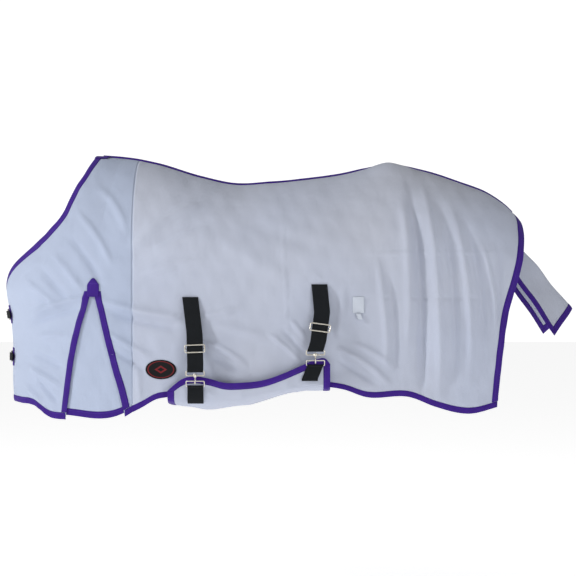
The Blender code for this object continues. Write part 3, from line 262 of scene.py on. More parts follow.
FOLDS = (
    # gathers that run down and back from the neck opening
    Fold((-0.06, -0.20), (0.05, -0.36), 0.0050, 0.014, 0.010),
    Fold((-0.10, -0.27), (0.02, -0.43), -0.0045, 0.012, 0.008),
    Fold((-0.15, -0.32), (-0.04, -0.45), 0.0050, 0.012),
    Fold((-0.20, -0.37), (-0.09, -0.49), -0.0050, 0.014),
    Fold((-0.25, -0.41), (-0.13, -0.50), 0.0045, 0.012),
    Fold((0.01, -0.12), (0.10, -0.26), 0.0040, 0.018, 0.012),
    # creases from the chest to the head of the slit, and below it
    Fold((-0.22, -0.525), (-0.03, -0.470), 0.0065, 0.011, 0.006),
    Fold((-0.22, -0.555), (-0.05, -0.505), -0.0055, 0.013, 0.004),
    Fold((-0.20, -0.600), (-0.10, -0.590), 0.0040, 0.012),
    Fold((-0.22, -0.655), (-0.11, -0.700), -0.0040, 0.014),
    Fold((-0.23, -0.700), (-0.12, -0.760), 0.0055, 0.012),
    Fold((-0.20, -0.745), (-0.13, -0.815), -0.0050, 0.011),
    Fold((-0.25, -0.760), (-0.18, -0.820), 0.0045, 0.011),
    # the long soft folds behind the shoulder
    Fold((0.012, -0.480), (0.306, -0.538), 0.0070, 0.016, -0.010),
    Fold((0.05, -0.520), (0.27, -0.568), -0.0055, 0.016, -0.006),
    Fold((0.30, -0.540), (0.46, -0.503), 0.0045, 0.014, -0.006),
    Fold((0.104, -0.314), (0.338, -0.167), 0.0055, 0.022, 0.012),
    Fold((0.12, -0.350), (0.36, -0.225), -0.0045, 0.024, 0.010),
    Fold((0.130, -0.410), (0.338, -0.349), 0.0045, 0.020, 0.008),
    Fold((0.040, -0.590), (0.185, -0.668), 0.0050, 0.012),
    Fold((0.045, -0.640), (0.16, -0.705), -0.0045, 0.012),
    Fold((0.135, -0.700), (0.145, -0.815), 0.0030, 0.012),
    # round the surcingles
    Fold((0.360, -0.615), (0.490, -0.694), 0.0050, 0.013, 0.008),
    Fold((0.365, -0.655), (0.470, -0.720), -0.0045, 0.013),
    Fold((0.380, -0.560), (0.560, -0.610), 0.0030, 0.022, 0.006),
    Fold((0.560, -0.590), (0.660, -0.680), 0.0050, 0.010, 0.004),
    Fold((0.600, -0.575), (0.675, -0.655), -0.0045, 0.010),
    Fold((0.625, -0.540), (0.685, -0.615), 0.0040, 0.010),
    Fold((0.40, -0.30), (0.62, -0.42), 0.0030, 0.040, 0.010),
    Fold((0.46, -0.22), (0.70, -0.31), -0.0025, 0.035),
    # the flank
    Fold((0.769, -0.630), (0.940, -0.745), 0.0050, 0.014, 0.010),
    Fold((0.780, -0.670), (0.900, -0.750), -0.0045, 0.013),
    Fold((0.830, -0.620), (0.950, -0.690), 0.0040, 0.012, 0.006),
    Fold((0.905, -0.360), (0.935, -0.690), 0.0050, 0.014, 0.008),
    Fold((0.945, -0.400), (0.965, -0.720), -0.0045, 0.014, 0.006),
    Fold((0.800, -0.430), (0.780, -0.600), 0.0035, 0.018),
    # the big folds that fall from the croup
    Fold((1.015, -0.120), (1.050, -0.790), -0.0105, 0.020, 0.014),
    Fold((1.060, -0.130), (1.105, -0.780), 0.0095, 0.020, 0.014),
    Fold((0.985, -0.160), (1.000, -0.640), 0.0060, 0.018, 0.012),
    Fold((1.115, -0.190), (1.155, -0.740), -0.0065, 0.018, 0.018),
    Fold((1.150, -0.200), (1.205, -0.720), 0.0070, 0.018, 0.020),
    Fold((1.195, -0.240), (1.250, -0.640), -0.0055, 0.016, 0.018),
    Fold((1.240, -0.300), (1.290, -0.600), 0.0055, 0.014, 0.014),
    Fold((1.300, -0.300), (1.300, -0.560), -0.0040, 0.012, 0.006),
    # creases left by folding, and the hem's turned edge
    Fold((0.850, -0.332), (1.310, -0.326), 0.0022, 0.0035),
    Fold((0.850, -0.474), (1.310, -0.476), -0.0022, 0.0035),
    Fold((0.60, -0.205), (0.62, -0.640), 0.0016, 0.0040),
)
# every fold is this many times as high, and as wide, as its own numbers say
FULLNESS, CRISPNESS = 1.9, 0.70
PUCKER, PUCKER_PITCH, PUCKER_REACH = 0.0007, 0.026, 0.030
STRAP_TOPS = ((0.3065, 0.3245, -0.455), (0.7190, 0.7080, -0.415))
STRAP_CLEAR = 0.034
OFF_SIDE_SHIFT = 0.030


def ripple(x: Array, z: Array) -> Array:
    """Small uneven waves: four sines that cross each other at different angles."""
    return (0.0008 * np.sin(41 * x + 23 * z + 1.3) + 0.0007 * np.sin(67 * x - 31 * z + 0.4)
            + 0.0005 * np.sin(19 * x + 88 * z) + 0.0004 * np.sin(113 * x + 57 * z + 2.1))


def slack(points: Array, depth: Array, side: int) -> Array:
    """How far the cloth stands off the body shape: folds, waves, puckers, less what straps press.

    Args:
        points: Points on the body shape.
        depth: Their depth, 0 to 2.
        side: -1 or 1; the off side's folds lie a little differently.

    Returns:
        One distance along the normal for each point.
    """
    x, z = points[..., 0], points[..., 2]
    if side > 0:
        x = x + OFF_SIDE_SHIFT * np.sin(9 * z)
        z = z + 0.012 * np.sin(11 * x)
    total = ripple(x, z)
    for fold in FOLDS:
        total = total + FULLNESS * fold.lift(x, z)
    total = total * (0.15 + 0.85 * ramp(np.abs(points[..., 1]), 0.02, 0.12))
    to_hem = np.clip(2 - depth, 0, 2) * SKIRT
    total = total * (0.45 + 0.55 * ramp(to_hem, 0.0, 0.05))
    total = total + PUCKER * np.sin(2 * math.pi * x / PUCKER_PITCH) * np.exp(-to_hem / PUCKER_REACH)
    press = np.zeros_like(total)
    for top_x, low_x, top_z in STRAP_TOPS:
        centre = top_x + (low_x - top_x) * np.clip((top_z - z) / 0.25, 0, 1)
        beside = 1 - ramp(np.abs(points[..., 0] - centre), 0.027, 0.027 + STRAP_CLEAR)
        press = np.maximum(press, beside * ramp(-z, -top_z - 0.03, -top_z))
    chest = ramp(-points[..., 0], 0.215, 0.275)
    return np.where(total > 0, total * (1 - press), total) * (1 - chest)


def cloth(surface: Surface, a: Array, b: Array, side: Side, lift: Array | float = 0.0) -> Array:
    """Points of the slack cloth, or of a layer that lies on it.

    Args:
        surface: body or shoulder.
        a: First parameter.
        b: Depth.
        side: The half of the sheet.
        lift: Distance from the cloth's mid surface, along the normal.

    Returns:
        Points, with a last axis of three.
    """
    a, b = np.broadcast_arrays(np.asarray(a, float), np.asarray(b, float))
    base = surface(a, b, side.value)
    off = slack(base, b, side.value) + lift
    return base + normals_of(surface, a, b, side.value) * np.asarray(off)[..., None]


def body_depth(x: Array, z: Array) -> Array:
    """The depth at which the body panel reaches height z, from the ellipse or the skirt."""
    widest = SPINE(x) - CROWN(x)
    fall = np.clip((SPINE(x) - z) / CROWN(x), 0, 1)
    arc = np.arccos(1 - fall) / (math.pi / 2)
    return np.where(z > widest, arc, 1 + (z - widest) / (HEM(x) - widest))


def on_body(x: Array, z: Array, side: Side, lift: Array | float = 0.0) -> Array:
    """Points of the slack body panel at x and height z, lifted along the normal."""
    x, z = np.broadcast_arrays(np.asarray(x, float), np.asarray(z, float))
    return cloth(body, x, body_depth(x, z), side, lift)


def on_chest(across: Array, z: Array, lift: Array | float) -> Array:
    """Points round the chest, at a distance from its centre line that is positive to the near side.

    Args:
        across: Distance round the chest.
        z: Height, below the widest line.
        lift: Distance from the cloth's mid surface.

    Returns:
        Points, with a last axis of three.
    """
    across, z = np.broadcast_arrays(np.asarray(across, float), np.asarray(z, float))
    degrees = RIGHT_ANGLE - np.degrees(np.abs(across) / HALF_WIDTH(SEAM_X))
    widest = SPINE(SEAM_X) - CROWN(SEAM_X)
    depth = 1 + (z - widest) / (FRONT_HEM(degrees) - widest)
    near = cloth(shoulder, degrees, depth, Side.LEFT, lift)
    off = cloth(shoulder, degrees, depth, Side.RIGHT, lift)
    return np.where((across < 0)[..., None], off, near)


# --- Meshes --------------------------------------------------------------------------------------
def object_of(name: str, points: Array, faces: Array, uv: Array, slot: Slot) -> bpy.types.Object:
    """One mesh object at the origin, smooth shaded, with a UV map in metres.

    Args:
        name: Name of the piece.
        points: Vertices.
        faces: Rows of four indices; a triangle repeats its last one.
        uv: One pair for each vertex.
        slot: Material slot of the record.

    Returns:
        The new object.
    """
    mesh = bpy.data.meshes.new(name)
    sizes = np.where(faces[:, 2] == faces[:, 3], 3, 4)
    corners = faces[np.arange(4)[None, :] < sizes[:, None]]
    mesh.vertices.add(len(points))
    mesh.vertices.foreach_set("co", points.astype(np.float32).ravel())
    mesh.loops.add(len(corners))
    mesh.loops.foreach_set("vertex_index", corners.astype(np.int32))
    mesh.polygons.add(len(faces))
    starts = np.concatenate([[0], np.cumsum(sizes)[:-1]])
    mesh.polygons.foreach_set("loop_start", starts.astype(np.int32))
    mesh.polygons.foreach_set("use_smooth", np.ones(len(faces), bool))
    layer = mesh.uv_layers.new(name="UVMap")
    layer.data.foreach_set("uv", uv[corners].astype(np.float32).ravel())
    mesh.update(calc_edges=True)
    mesh.validate()
    piece = bpy.data.objects.new(name, mesh)
    bpy.context.scene.collection.objects.link(piece)
    mesh.materials.append(MATERIALS[slot])
    return piece


def grid_faces(rows: int, columns: int, around: bool = False) -> Array:
    """Quads of an index grid; with around, the last column joins the first."""
    index = np.arange(rows * columns).reshape(rows, columns)
    if around:
        index = np.concatenate([index, index[:, :1]], axis=1)
    return np.stack([index[:-1, :-1], index[1:, :-1], index[1:, 1:], index[:-1, 1:]],
                    axis=-1).reshape(-1, 4)


def metric_uv(grid: Array) -> Array:
    """Distances along the middle column and the middle row of a grid, as UV in metres."""
    rows, columns = grid.shape[:2]
    down, along = grid[:, columns // 2], grid[rows // 2]
    v = np.concatenate([[0], np.cumsum(np.linalg.norm(np.diff(down, axis=0), axis=1))])
    u = np.concatenate([[0], np.cumsum(np.linalg.norm(np.diff(along, axis=0), axis=1))])
    return np.stack(np.meshgrid(u, v), axis=-1).reshape(-1, 2)


def shell(name: str, points: Array, faces: Array, uv: Array, thickness: float, slot: Slot,
          outward: Array) -> bpy.types.Object:
    """A thin closed piece: the surface moved out and in by half its thickness, with its rim walled.

    Args:
        name: Name of the piece.
        points: Mid surface vertices.
        faces: Quads of the mid surface.
        uv: One pair for each vertex.
        thickness: Wall in metres.
        slot: Material slot.
        outward: A direction for each vertex that faces out.

    Returns:
        The new object.
    """
    corner = points[faces]
    flat = np.cross(corner[:, 2] - corner[:, 0], corner[:, 3] - corner[:, 1])
    normals = np.zeros_like(points)
    for k in range(4):
        np.add.at(normals, faces[:, k], flat)
    normals = unit(normals)
    if np.sum(normals * outward) < 0:
        normals, faces = -normals, faces[:, ::-1]
    count = len(points)
    both = np.concatenate([points + normals * thickness / 2, points - normals * thickness / 2])
    ends = np.concatenate([faces[:, [k, (k + 1) % 4]] for k in range(4)])
    _, index, uses = np.unique(np.sort(ends, axis=1), axis=0, return_inverse=True,
                               return_counts=True)
    rim = ends[uses[index.reshape(-1)] == 1]
    walls = np.stack([rim[:, 1], rim[:, 0], rim[:, 0] + count, rim[:, 1] + count], axis=-1)
    return object_of(name, both, np.concatenate([faces, faces[:, ::-1] + count, walls]),
                     np.concatenate([uv, uv]), slot)


def grid_shell(name: str, grid: Array, thickness: float, slot: Slot,
               outward: Array) -> bpy.types.Object:
    """A thin closed piece from a grid of points; outward is one direction or one for each point."""
    away = np.broadcast_to(outward, grid.shape).reshape(-1, 3)
    return shell(name, grid.reshape(-1, 3), grid_faces(*grid.shape[:2]), metric_uv(grid),
                 thickness, slot, away)


def swept(name: str, rings: Array, uv: Array, slot: Slot, loop: bool = False) -> bpy.types.Object:
    """A solid from rings of points carried along a path, capped at both ends or joined in a loop.

    Args:
        name: Name of the piece.
        rings: Stations by points round the section by three.
        uv: One pair for each point.
        slot: Material slot.
        loop: Joins the last ring to the first.

    Returns:
        The new object, with its faces turned outwards.
    """
    count, sides = rings.shape[:2]
    faces = grid_faces(count, sides, around=True)
    if loop:
        last, first = np.arange(sides) + (count - 1) * sides, np.arange(sides)
        joined = np.stack([last, first, np.roll(first, -1), np.roll(last, -1)], axis=-1)
        faces = np.concatenate([faces, joined])
    else:
        half = sides // 2
        k = np.arange(half - 1)
        cap = np.stack([k, k + 1, sides - 2 - k, sides - 1 - k], axis=-1)
        faces = np.concatenate([faces, cap, cap[:, ::-1] + (count - 1) * sides])
    points = rings.reshape(-1, 3)
    corner = points[faces]
    solid = np.einsum("ij,ij->i", corner[:, 0], np.cross(corner[:, 1], corner[:, 2]))
    solid = solid + np.einsum("ij,ij->i", corner[:, 0], np.cross(corner[:, 2], corner[:, 3]))
    if solid.sum() < 0:
        faces = faces[:, ::-1]
    return object_of(name, points, faces, uv.reshape(-1, 2), slot)


def distances(path: Array) -> Array:
    """Running length along a path of points."""
    return np.concatenate([[0], np.cumsum(np.linalg.norm(np.diff(path, axis=0), axis=-1))])


def resample(path: Array, count: int) -> Array:
    """The same path as evenly spaced points."""
    run = distances(path)
    wanted = np.linspace(0, run[-1], count)
    return np.stack([np.interp(wanted, run, path[:, k]) for k in range(3)], axis=-1)


def rounded(path: Array, count: int, passes: int = 6) -> Array:
    """A path through the same ends with its corners worn round by repeated averaging."""
    fine = resample(np.asarray(path, float), count)
    for _ in range(passes):
        fine[1:-1] = (fine[:-2] + 2 * fine[1:-1] + fine[2:]) / 4
    return fine


def wire(name: str, path: Array, radius: float, flat: Vector | Array, loop: bool = False,
         sides: int = 20) -> bpy.types.Object:
    """A round wire along a path that lies in one plane.

    Args:
        name: Name of the piece.
        path: Points of the wire's middle line.
        radius: Radius in metres.
        flat: The normal of the path's plane.
        loop: Whether the path closes.
        sides: Points round the wire.

    Returns:
        The new object.
    """
    path = np.asarray(path, float)
    ahead = np.roll(path, -1, axis=0) - np.roll(path, 1, axis=0) if loop else np.gradient(path, axis=0)
    up = np.broadcast_to(unit(np.asarray(flat, float)), path.shape)
    out = unit(np.cross(unit(ahead), up))
    turn = np.arange(sides) * 2 * math.pi / sides
    rings = path[:, None] + radius * (np.cos(turn)[None, :, None] * out[:, None]
                                      + np.sin(turn)[None, :, None] * up[:, None])
    if not loop:
        ends = [(path[:1, None] + (rings[:1] - path[:1, None]) * k
                 + unit(path[0] - path[1]) * radius * s) for k, s in ((0.05, 0.5), (0.7, 0.36))]
        tails = [(path[-1:, None] + (rings[-1:] - path[-1:, None]) * k
                  + unit(path[-1] - path[-2]) * radius * s) for k, s in ((0.7, 0.36), (0.05, 0.5))]
        rings = np.concatenate([*ends, rings, *tails])
    u = np.arange(len(rings)) * radius
    uv = np.stack(np.meshgrid(turn * radius, u), axis=-1)
    return swept(name, rings, uv, Slot.NICKEL, loop)


def join(name: str, pieces: list[bpy.types.Object]) -> bpy.types.Object:
    """Several meshes as one object, under this name."""
    with bpy.context.temp_override(active_object=pieces[0], object=pieces[0],
                                   selected_objects=pieces, selected_editable_objects=pieces):
        bpy.ops.object.join()
    pieces[0].name = name
    pieces[0].data.name = name
    return pieces[0]


def rounded_rectangle(width: float, height: float, corner: float, steps: int = 10) -> Array:
    """Points (across, up) round a rectangle with quarter circles at its corners."""
    turn = np.radians(np.arange(4)[:, None] * 90 + np.linspace(0, 90, steps + 1)[None, :])
    centre = np.array([(1, 1), (-1, 1), (-1, -1), (1, -1)]) * (width / 2 - corner,
                                                               height / 2 - corner)
    points = centre[:, None] + corner * np.stack([np.cos(turn), np.sin(turn)], axis=-1)
    return points.reshape(-1, 2)


def tape_over(name: str, edge: Array, inner: Array, edge_out: Array, inner_out: Array,
              puff: float = 0.0010) -> bpy.types.Object:
    """A tape folded over an edge, as one piece with a U-shaped section.

    The outer line of the section runs in along the far side, round the edge as a half circle and
    out along the near side; the inner line follows it one thickness inside.

    Args:
        name: Name of the piece.
        edge: Points of the cloth's edge.
        inner: Points one tape's width in from the edge.
        edge_out: Outward normals at the edge.
        inner_out: Outward normals at the inner line.
        puff: How far the tape's middle rises between its two sewn lines.

    Returns:
        The new object. Its UV runs along the tape, and across it from -width to width.
    """
    t = np.linspace(0, 1, 7)[None, :, None]
    leaf, out = inner[:, None] * (1 - t) + edge[:, None] * t, inner_out[:, None] * (1 - t)
    out = unit(out + edge_out[:, None] * t)
    swell = puff * np.sin(math.pi * t)
    away = unit(edge - inner)[:, None]
    turn = np.radians(np.linspace(90, -90, 9))[None, 1:-1, None]
    lip = edge[:, None] + away * FIT
    side = edge_out[:, None]

    def line(reach: float, rise: Array) -> Array:
        bend = lip + reach * (away * np.cos(turn) + side * np.sin(turn))
        return np.concatenate([leaf + out * (reach + rise), bend,
                               (leaf - out * (reach + rise))[:, ::-1]], axis=1)

    near = CLOTH / 2 + FIT / 2
    rings = np.concatenate([line(near + TAPE, swell), line(near, 0 * swell)[:, ::-1]], axis=1)
    u = distances(edge)
    across = distances(rings[len(rings) // 2, :rings.shape[1] // 2])
    across = across - across[-1] / 2
    v = np.concatenate([across, across[::-1]])
    uv = np.stack(np.meshgrid(v, u)[::-1], axis=-1)
    return swept(name, rings, uv, Slot.TAPE)


def ribbon(name: str, path: Array, across: Array, width: float, thickness: float, slot: Slot,
           lean: Array | float = 0.0) -> bpy.types.Object:
    """A strip of webbing along a path, with rounded long edges.

    Args:
        name: Name of the piece.
        path: Its middle line.
        across: Direction of its width.
        width: Width in metres.
        thickness: Thickness in metres.
        slot: Material slot.
        lean: Shift along the width, one for each point.

    Returns:
        The new object. Its UV runs along the strip, and across it from -width/2 to width/2.
    """
    path = np.asarray(path, float)
    across = np.broadcast_to(unit(np.asarray(across, float)), path.shape)
    path = path + across * np.broadcast_to(lean, len(path))[:, None]
    out = unit(np.cross(np.gradient(path, axis=0), across))
    half, side = width / 2, thickness / 2
    flat = np.linspace(-1, 1, 9) * (half - side)
    turn = np.radians([60, 0, -60])
    top = np.stack([flat, np.full_like(flat, side)], axis=-1)
    right = np.stack([half - side + side * np.cos(turn), side * np.sin(turn)], axis=-1)
    section = np.concatenate([top, right, -top, -right])
    rings = (path[:, None] + across[:, None] * section[None, :, :1] + out[:, None] * section[None, :, 1:])
    u = np.broadcast_to(distances(path)[:, None], rings.shape[:2])
    v = np.broadcast_to(section[None, :, 0], rings.shape[:2])
    return swept(name, rings, np.stack([u, v], axis=-1), slot)


# --- Shader maths --------------------------------------------------------------------------------
class Value:
    """A number in a node tree, on which Python's operators add Math nodes."""

    def __init__(self, board: "Board", link: bpy.types.NodeSocket) -> None:
        """Keeps the tree and the socket that the number comes out of."""
        self.board, self.link = board, link

    def maths(self, operation: str, *others: "Value | float", first: "Value | float | None" = None,
              clamp: bool = False) -> "Value":
        """Adds one Math node.

        Args:
            operation: The node's operation.
            others: Its further inputs.
            first: What stands before this value, where the order matters.
            clamp: Whether the result is held between 0 and 1.

        Returns:
            The result.
        """
        terms = [self, *others] if first is None else [first, self, *others]
        node = self.board.node("ShaderNodeMath", {"operation": operation, "use_clamp": clamp},
                               dict(enumerate(terms)))
        return Value(self.board, node.outputs[0])

    def __add__(self, other: "Value | float") -> "Value":
        """Sum."""
        return self.maths("ADD", other)

    __radd__ = __add__

    def __mul__(self, other: "Value | float") -> "Value":
        """Product."""
        return self.maths("MULTIPLY", other)

    __rmul__ = __mul__

    def __sub__(self, other: "Value | float") -> "Value":
        """Difference."""
        return self.maths("SUBTRACT", other)

    def __rsub__(self, other: float) -> "Value":
        """Difference, with this value taken away."""
        return self.maths("SUBTRACT", first=other)

    def __truediv__(self, other: "Value | float") -> "Value":
        """Quotient."""
        return self.maths("DIVIDE", other)

    def sine(self) -> "Value":
        """Sine."""
        return self.maths("SINE")

    def absolute(self) -> "Value":
        """Distance from 0."""
        return self.maths("ABSOLUTE")

    def below(self, limit: float, soft: float) -> "Value":
        """1 under the limit and 0 over it, with a soft step."""
        return ((limit - self) / soft + 0.5).maths("MULTIPLY", 1.0, clamp=True)

    def held(self) -> "Value":
        """The value held between 0 and 1."""
        return self.maths("MULTIPLY", 1.0, clamp=True)


class Board:
    """The node tree of one material."""

    def __init__(self, name: str, roughness: float, metallic: float = 0.0, **plain: float) -> None:
        """Makes the material; plain holds numbers for the shader's own sockets, by name."""
        self.material = bpy.data.materials.new(name)
        self.material.use_nodes = True
        self.tree = self.material.node_tree
        self.shader = self.tree.nodes["Principled BSDF"]
        self.shader.inputs["Roughness"].default_value = roughness
        self.shader.inputs["Metallic"].default_value = metallic
        for socket, number in plain.items():
            self.shader.inputs[socket.replace("_", " ")].default_value = number

    def node(self, kind: str, settings: dict, inputs: dict) -> bpy.types.Node:
        """Adds a node of any type.

        Args:
            kind: The node's type.
            settings: Its settings, set first.
            inputs: Values or links for its sockets, by index or name.

        Returns:
            The new node.
        """
        node = self.tree.nodes.new(kind)
        for key, value in settings.items():
            setattr(node, key, value)
        for key, value in inputs.items():
            self.set(node.inputs[key], value)
        return node

    def set(self, socket: bpy.types.NodeSocket,
            value: "Value | bpy.types.NodeSocket | float | tuple") -> None:
        """Links a socket to a value, or gives it a plain number or colour."""
        if isinstance(value, Value):
            value = value.link
        if isinstance(value, bpy.types.NodeSocket):
            self.tree.links.new(value, socket)
        else:
            socket.default_value = value

    def uv(self) -> tuple[Value, Value]:
        """The two UV coordinates, in metres."""
        place = self.node("ShaderNodeTexCoord", {}, {})
        parts = self.node("ShaderNodeSeparateXYZ", {}, {0: place.outputs["UV"]})
        return Value(self, parts.outputs[0]), Value(self, parts.outputs[1])

    def forward(self, x: float, soft: float) -> Value:
        """1 in front of x along the back and 0 behind it, with a soft step."""
        place = self.node("ShaderNodeTexCoord", {}, {})
        parts = self.node("ShaderNodeSeparateXYZ", {}, {0: place.outputs["Object"]})
        return Value(self, parts.outputs[0]).below(x, soft)

    def noise(self, scale: float, detail: float = 3.0, stretch: tuple = (1.0, 1.0, 1.0)) -> Value:
        """Smooth noise on Object coordinates, around 0.5; scale is waves to a metre."""
        place = self.node("ShaderNodeTexCoord", {}, {})
        turned = self.node("ShaderNodeMapping", {}, {"Vector": place.outputs["Object"], "Scale": stretch})
        found = self.node("ShaderNodeTexNoise", {}, {"Vector": turned.outputs[0], "Scale": scale,
                                                     "Detail": detail})
        return Value(self, found.outputs["Fac"])

    def mix(self, share: Value, first: "bpy.types.NodeSocket | tuple",
            second: "bpy.types.NodeSocket | tuple") -> bpy.types.NodeSocket:
        """A colour between two colours."""
        node = self.node("ShaderNodeMix", {"data_type": "RGBA"}, {0: share})
        for index, colour in ((6, first), (7, second)):
            self.set(node.inputs[index], (*colour, 1.0) if isinstance(colour, tuple) else colour)
        return node.outputs[2]

    def finish(self, colour: bpy.types.NodeSocket, height: Value, depth: float,
               roughness: "Value | None" = None) -> bpy.types.Material:
        """Feeds the shader its colour and a bump of this height in metres.

        Args:
            colour: Base colour.
            height: Bump height, 0 to 1.
            depth: What a height of 1 stands for, in metres.
            roughness: Where it varies over the surface.

        Returns:
            The material.
        """
        bump = self.node("ShaderNodeBump", {}, {"Strength": 1.0, "Distance": depth, "Height": height})
        self.set(self.shader.inputs["Normal"], bump.outputs[0])
        self.set(self.shader.inputs["Base Color"], colour)
        if roughness is not None:
            self.set(self.shader.inputs["Roughness"], roughness)
        return self.material


# --- Finishes ------------------------------------------------------------------------------------
Colour = tuple[float, float, float]
TURN = 2 * math.pi


@dataclass(frozen=True)
class MeshCloth:
    """Open polyester mesh: a fine knitted net with small holes in rows."""

    light: Colour
    shade: Colour
    # Colour painted into the net's holes: painted shade of the dark gap behind the net.
    hole_shade: Colour
    pitch: float = 0.0034
    # The darker warm grey of the cloth in shade, laid in patches: painted shade.
    warm_shade: Colour = (0.460, 0.468, 0.512)
    front: Colour = (0.410, 0.478, 0.630)

    def build(self, name: str) -> bpy.types.Material:
        """The net is the product of two sines on the UV, its holes painted dark as painted shade; noise lays
        soft clouds of the cloth's lit and shaded tones, and large patches of its warm shaded grey: painted
        light and shade.
        """
        board = Board(name, 0.85, Sheen_Weight=0.06, Specular_IOR_Level=0.2)
        u, v = board.uv()
        net = (u * (TURN / self.pitch)).sine() * (v * (TURN / self.pitch)).sine()
        # The holes are painted dark: painted shade seen through the net.
        holes = (net - 0.55).maths("MULTIPLY", 2.6, clamp=True)
        # Painted light and shade: noise clouds blend the cloth's lit tone with its shaded tone.
        clouds = ((board.noise(3.2) - 0.5) * 1.6 + 0.5).held()
        ground = board.mix(clouds, self.light, self.shade)
        # Painted shade: large soft noise patches blend in the darker warm grey of the cloth in shade.
        soft = ((board.noise(1.4, 2.0) - 0.5) * 2.2 + 0.35).held()
        ground = board.mix(soft * 0.7, ground, self.warm_shade)
        ground = board.mix(board.forward(SEAM_X + 0.002, 0.004) * 0.75, ground, self.front)
        colour = board.mix(holes * 0.55, ground, self.hole_shade)
        creases = board.noise(60.0, 4.0, (1.0, 1.0, 0.45))
        rumple = board.noise(11.0, 3.0, (1.0, 1.0, 0.6))
        return board.finish(colour, net * 0.04 + creases * 0.12 + rumple * 0.84, 0.0070)


@dataclass(frozen=True)
class Tape:
    """Woven edge tape with fine ribs and a row of stitches near each long edge."""

    colour: Colour
    shade: Colour
    thread: Colour
    rib: float = 0.0016
    stitch: float = 0.0045
    stitch_line: float = 0.0175

    def build(self, name: str) -> bpy.types.Material:
        """Ribs are a sine along the tape; stitches are dashes where the distance across is right."""
        board = Board(name, 0.62, Sheen_Weight=0.03, Specular_IOR_Level=0.18)
        u, v = board.uv()
        ribs = (u * (TURN / self.rib)).sine() * 0.5 + 0.5
        row = ((v.absolute() - self.stitch_line).absolute()).below(0.0005, 0.0003)
        dash = ((u * (TURN / self.stitch)).sine() + 0.55).maths("MULTIPLY", 6.0, clamp=True)
        stitches = row * dash
        # This noise blends the tape's colour towards its shade colour in random patches, which is painted
        # shade; it also adds wear to the bump.
        wear_and_shade = board.noise(38.0, 4.0)
        ground = board.mix(wear_and_shade, self.shade, self.colour)
        colour = board.mix(stitches, ground, self.thread)
        return board.finish(colour, ribs * 0.35 + stitches * 0.6 + wear_and_shade * 0.5, 0.0006)


@dataclass(frozen=True)
class Webbing:
    """Heavy woven webbing with a herringbone of ribs."""

    colour: Colour
    shade: Colour
    pitch: float = 0.0026

    def build(self, name: str) -> bpy.types.Material:
        """The weave is a sine along the strip that leans one way and then the other across it."""
        board = Board(name, 0.70, Sheen_Weight=0.02, Specular_IOR_Level=0.15)
        u, v = board.uv()
        lean = (v * (TURN / 0.0125)).sine().absolute() * 0.0022
        weave = ((u + lean) * (TURN / self.pitch)).sine() * 0.5 + 0.5
        wear_and_shade = board.noise(45.0, 4.0)
        # Painted shade: the weave's hollows and random noise patches take the webbing's shade colour; the
        # same masks also shape the bump.
        colour = board.mix((weave * 0.6 + wear_and_shade * 0.5).held(), self.shade, self.colour)
        return board.finish(colour, weave * 0.7 + wear_and_shade * 0.3, 0.0006)


@dataclass(frozen=True)
class Metal:
    """Plated wire with a soft grain and a little tarnish."""

    colour: Colour
    tarnish: Colour
    roughness: float

    def build(self, name: str) -> bpy.types.Material:
        """Noise drives the tarnish, the roughness and a very small bump."""
        board = Board(name, self.roughness, 1.0)
        marks = ((board.noise(140.0, 4.0) - 0.5) * 2.0 + 0.4).held()
        colour = board.mix(marks, self.colour, self.tarnish)
        return board.finish(colour, marks, 0.00008, marks * 0.22 + self.roughness)


@dataclass(frozen=True)
class BadgeFace:
    """A black moulded oval with a raised rim line and a plain lozenge, both dark red."""

    ground: Colour
    mark: Colour
    across: float = 0.050
    down: float = 0.031

    def build(self, name: str) -> bpy.types.Material:
        """The rim is where the oval radius is near 0.84; the lozenge is where |u| + |v| is small."""
        board = Board(name, 0.60, Specular_IOR_Level=0.2)
        u, v = board.uv()
        x, y = u / self.across, v / self.down
        radius = (x * x + y * y).maths("SQRT")
        rim = (radius - 0.84).absolute().below(0.035, 0.02)
        lozenge = (x.absolute() * 1.5 + y.absolute() * 1.5).below(0.62, 0.04)
        core = (x.absolute() * 1.5 + y.absolute() * 1.5).below(0.34, 0.04)
        mark = (rim + lozenge - core).held()
        grain = board.noise(220.0, 3.0)
        colour = board.mix(mark, self.ground, self.mark)
        return board.finish(colour, mark * 0.8 + grain * 0.2, 0.0004)


FINISHES = {
    Slot.MESH: MeshCloth((0.500, 0.540, 0.655), (0.425, 0.465, 0.580), (0.20, 0.22, 0.29)),
    Slot.TAPE: Tape((0.046, 0.009, 0.235), (0.026, 0.005, 0.150), (0.09, 0.04, 0.32)),
    Slot.BLACK: Webbing((0.008, 0.010, 0.013), (0.002, 0.003, 0.004)),
    Slot.WHITE: Webbing((0.60, 0.64, 0.72), (0.46, 0.50, 0.58)),
    Slot.NICKEL: Metal((0.78, 0.76, 0.70), (0.55, 0.50, 0.40), 0.22),
    Slot.BADGE: BadgeFace((0.003, 0.003, 0.004), (0.160, 0.010, 0.014)),
}
MATERIALS: dict[Slot, bpy.types.Material] = {}


def place(piece: bpy.types.Object, rides: str, *nodes: str) -> bpy.types.Object:
    """Hands a finished piece over: it moves with a body and stands for these nodes."""
    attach(piece, rides)
    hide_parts(*nodes)
    LOG.info("%s: %d faces, on %s", piece.name, len(piece.data.polygons), rides)
    return piece


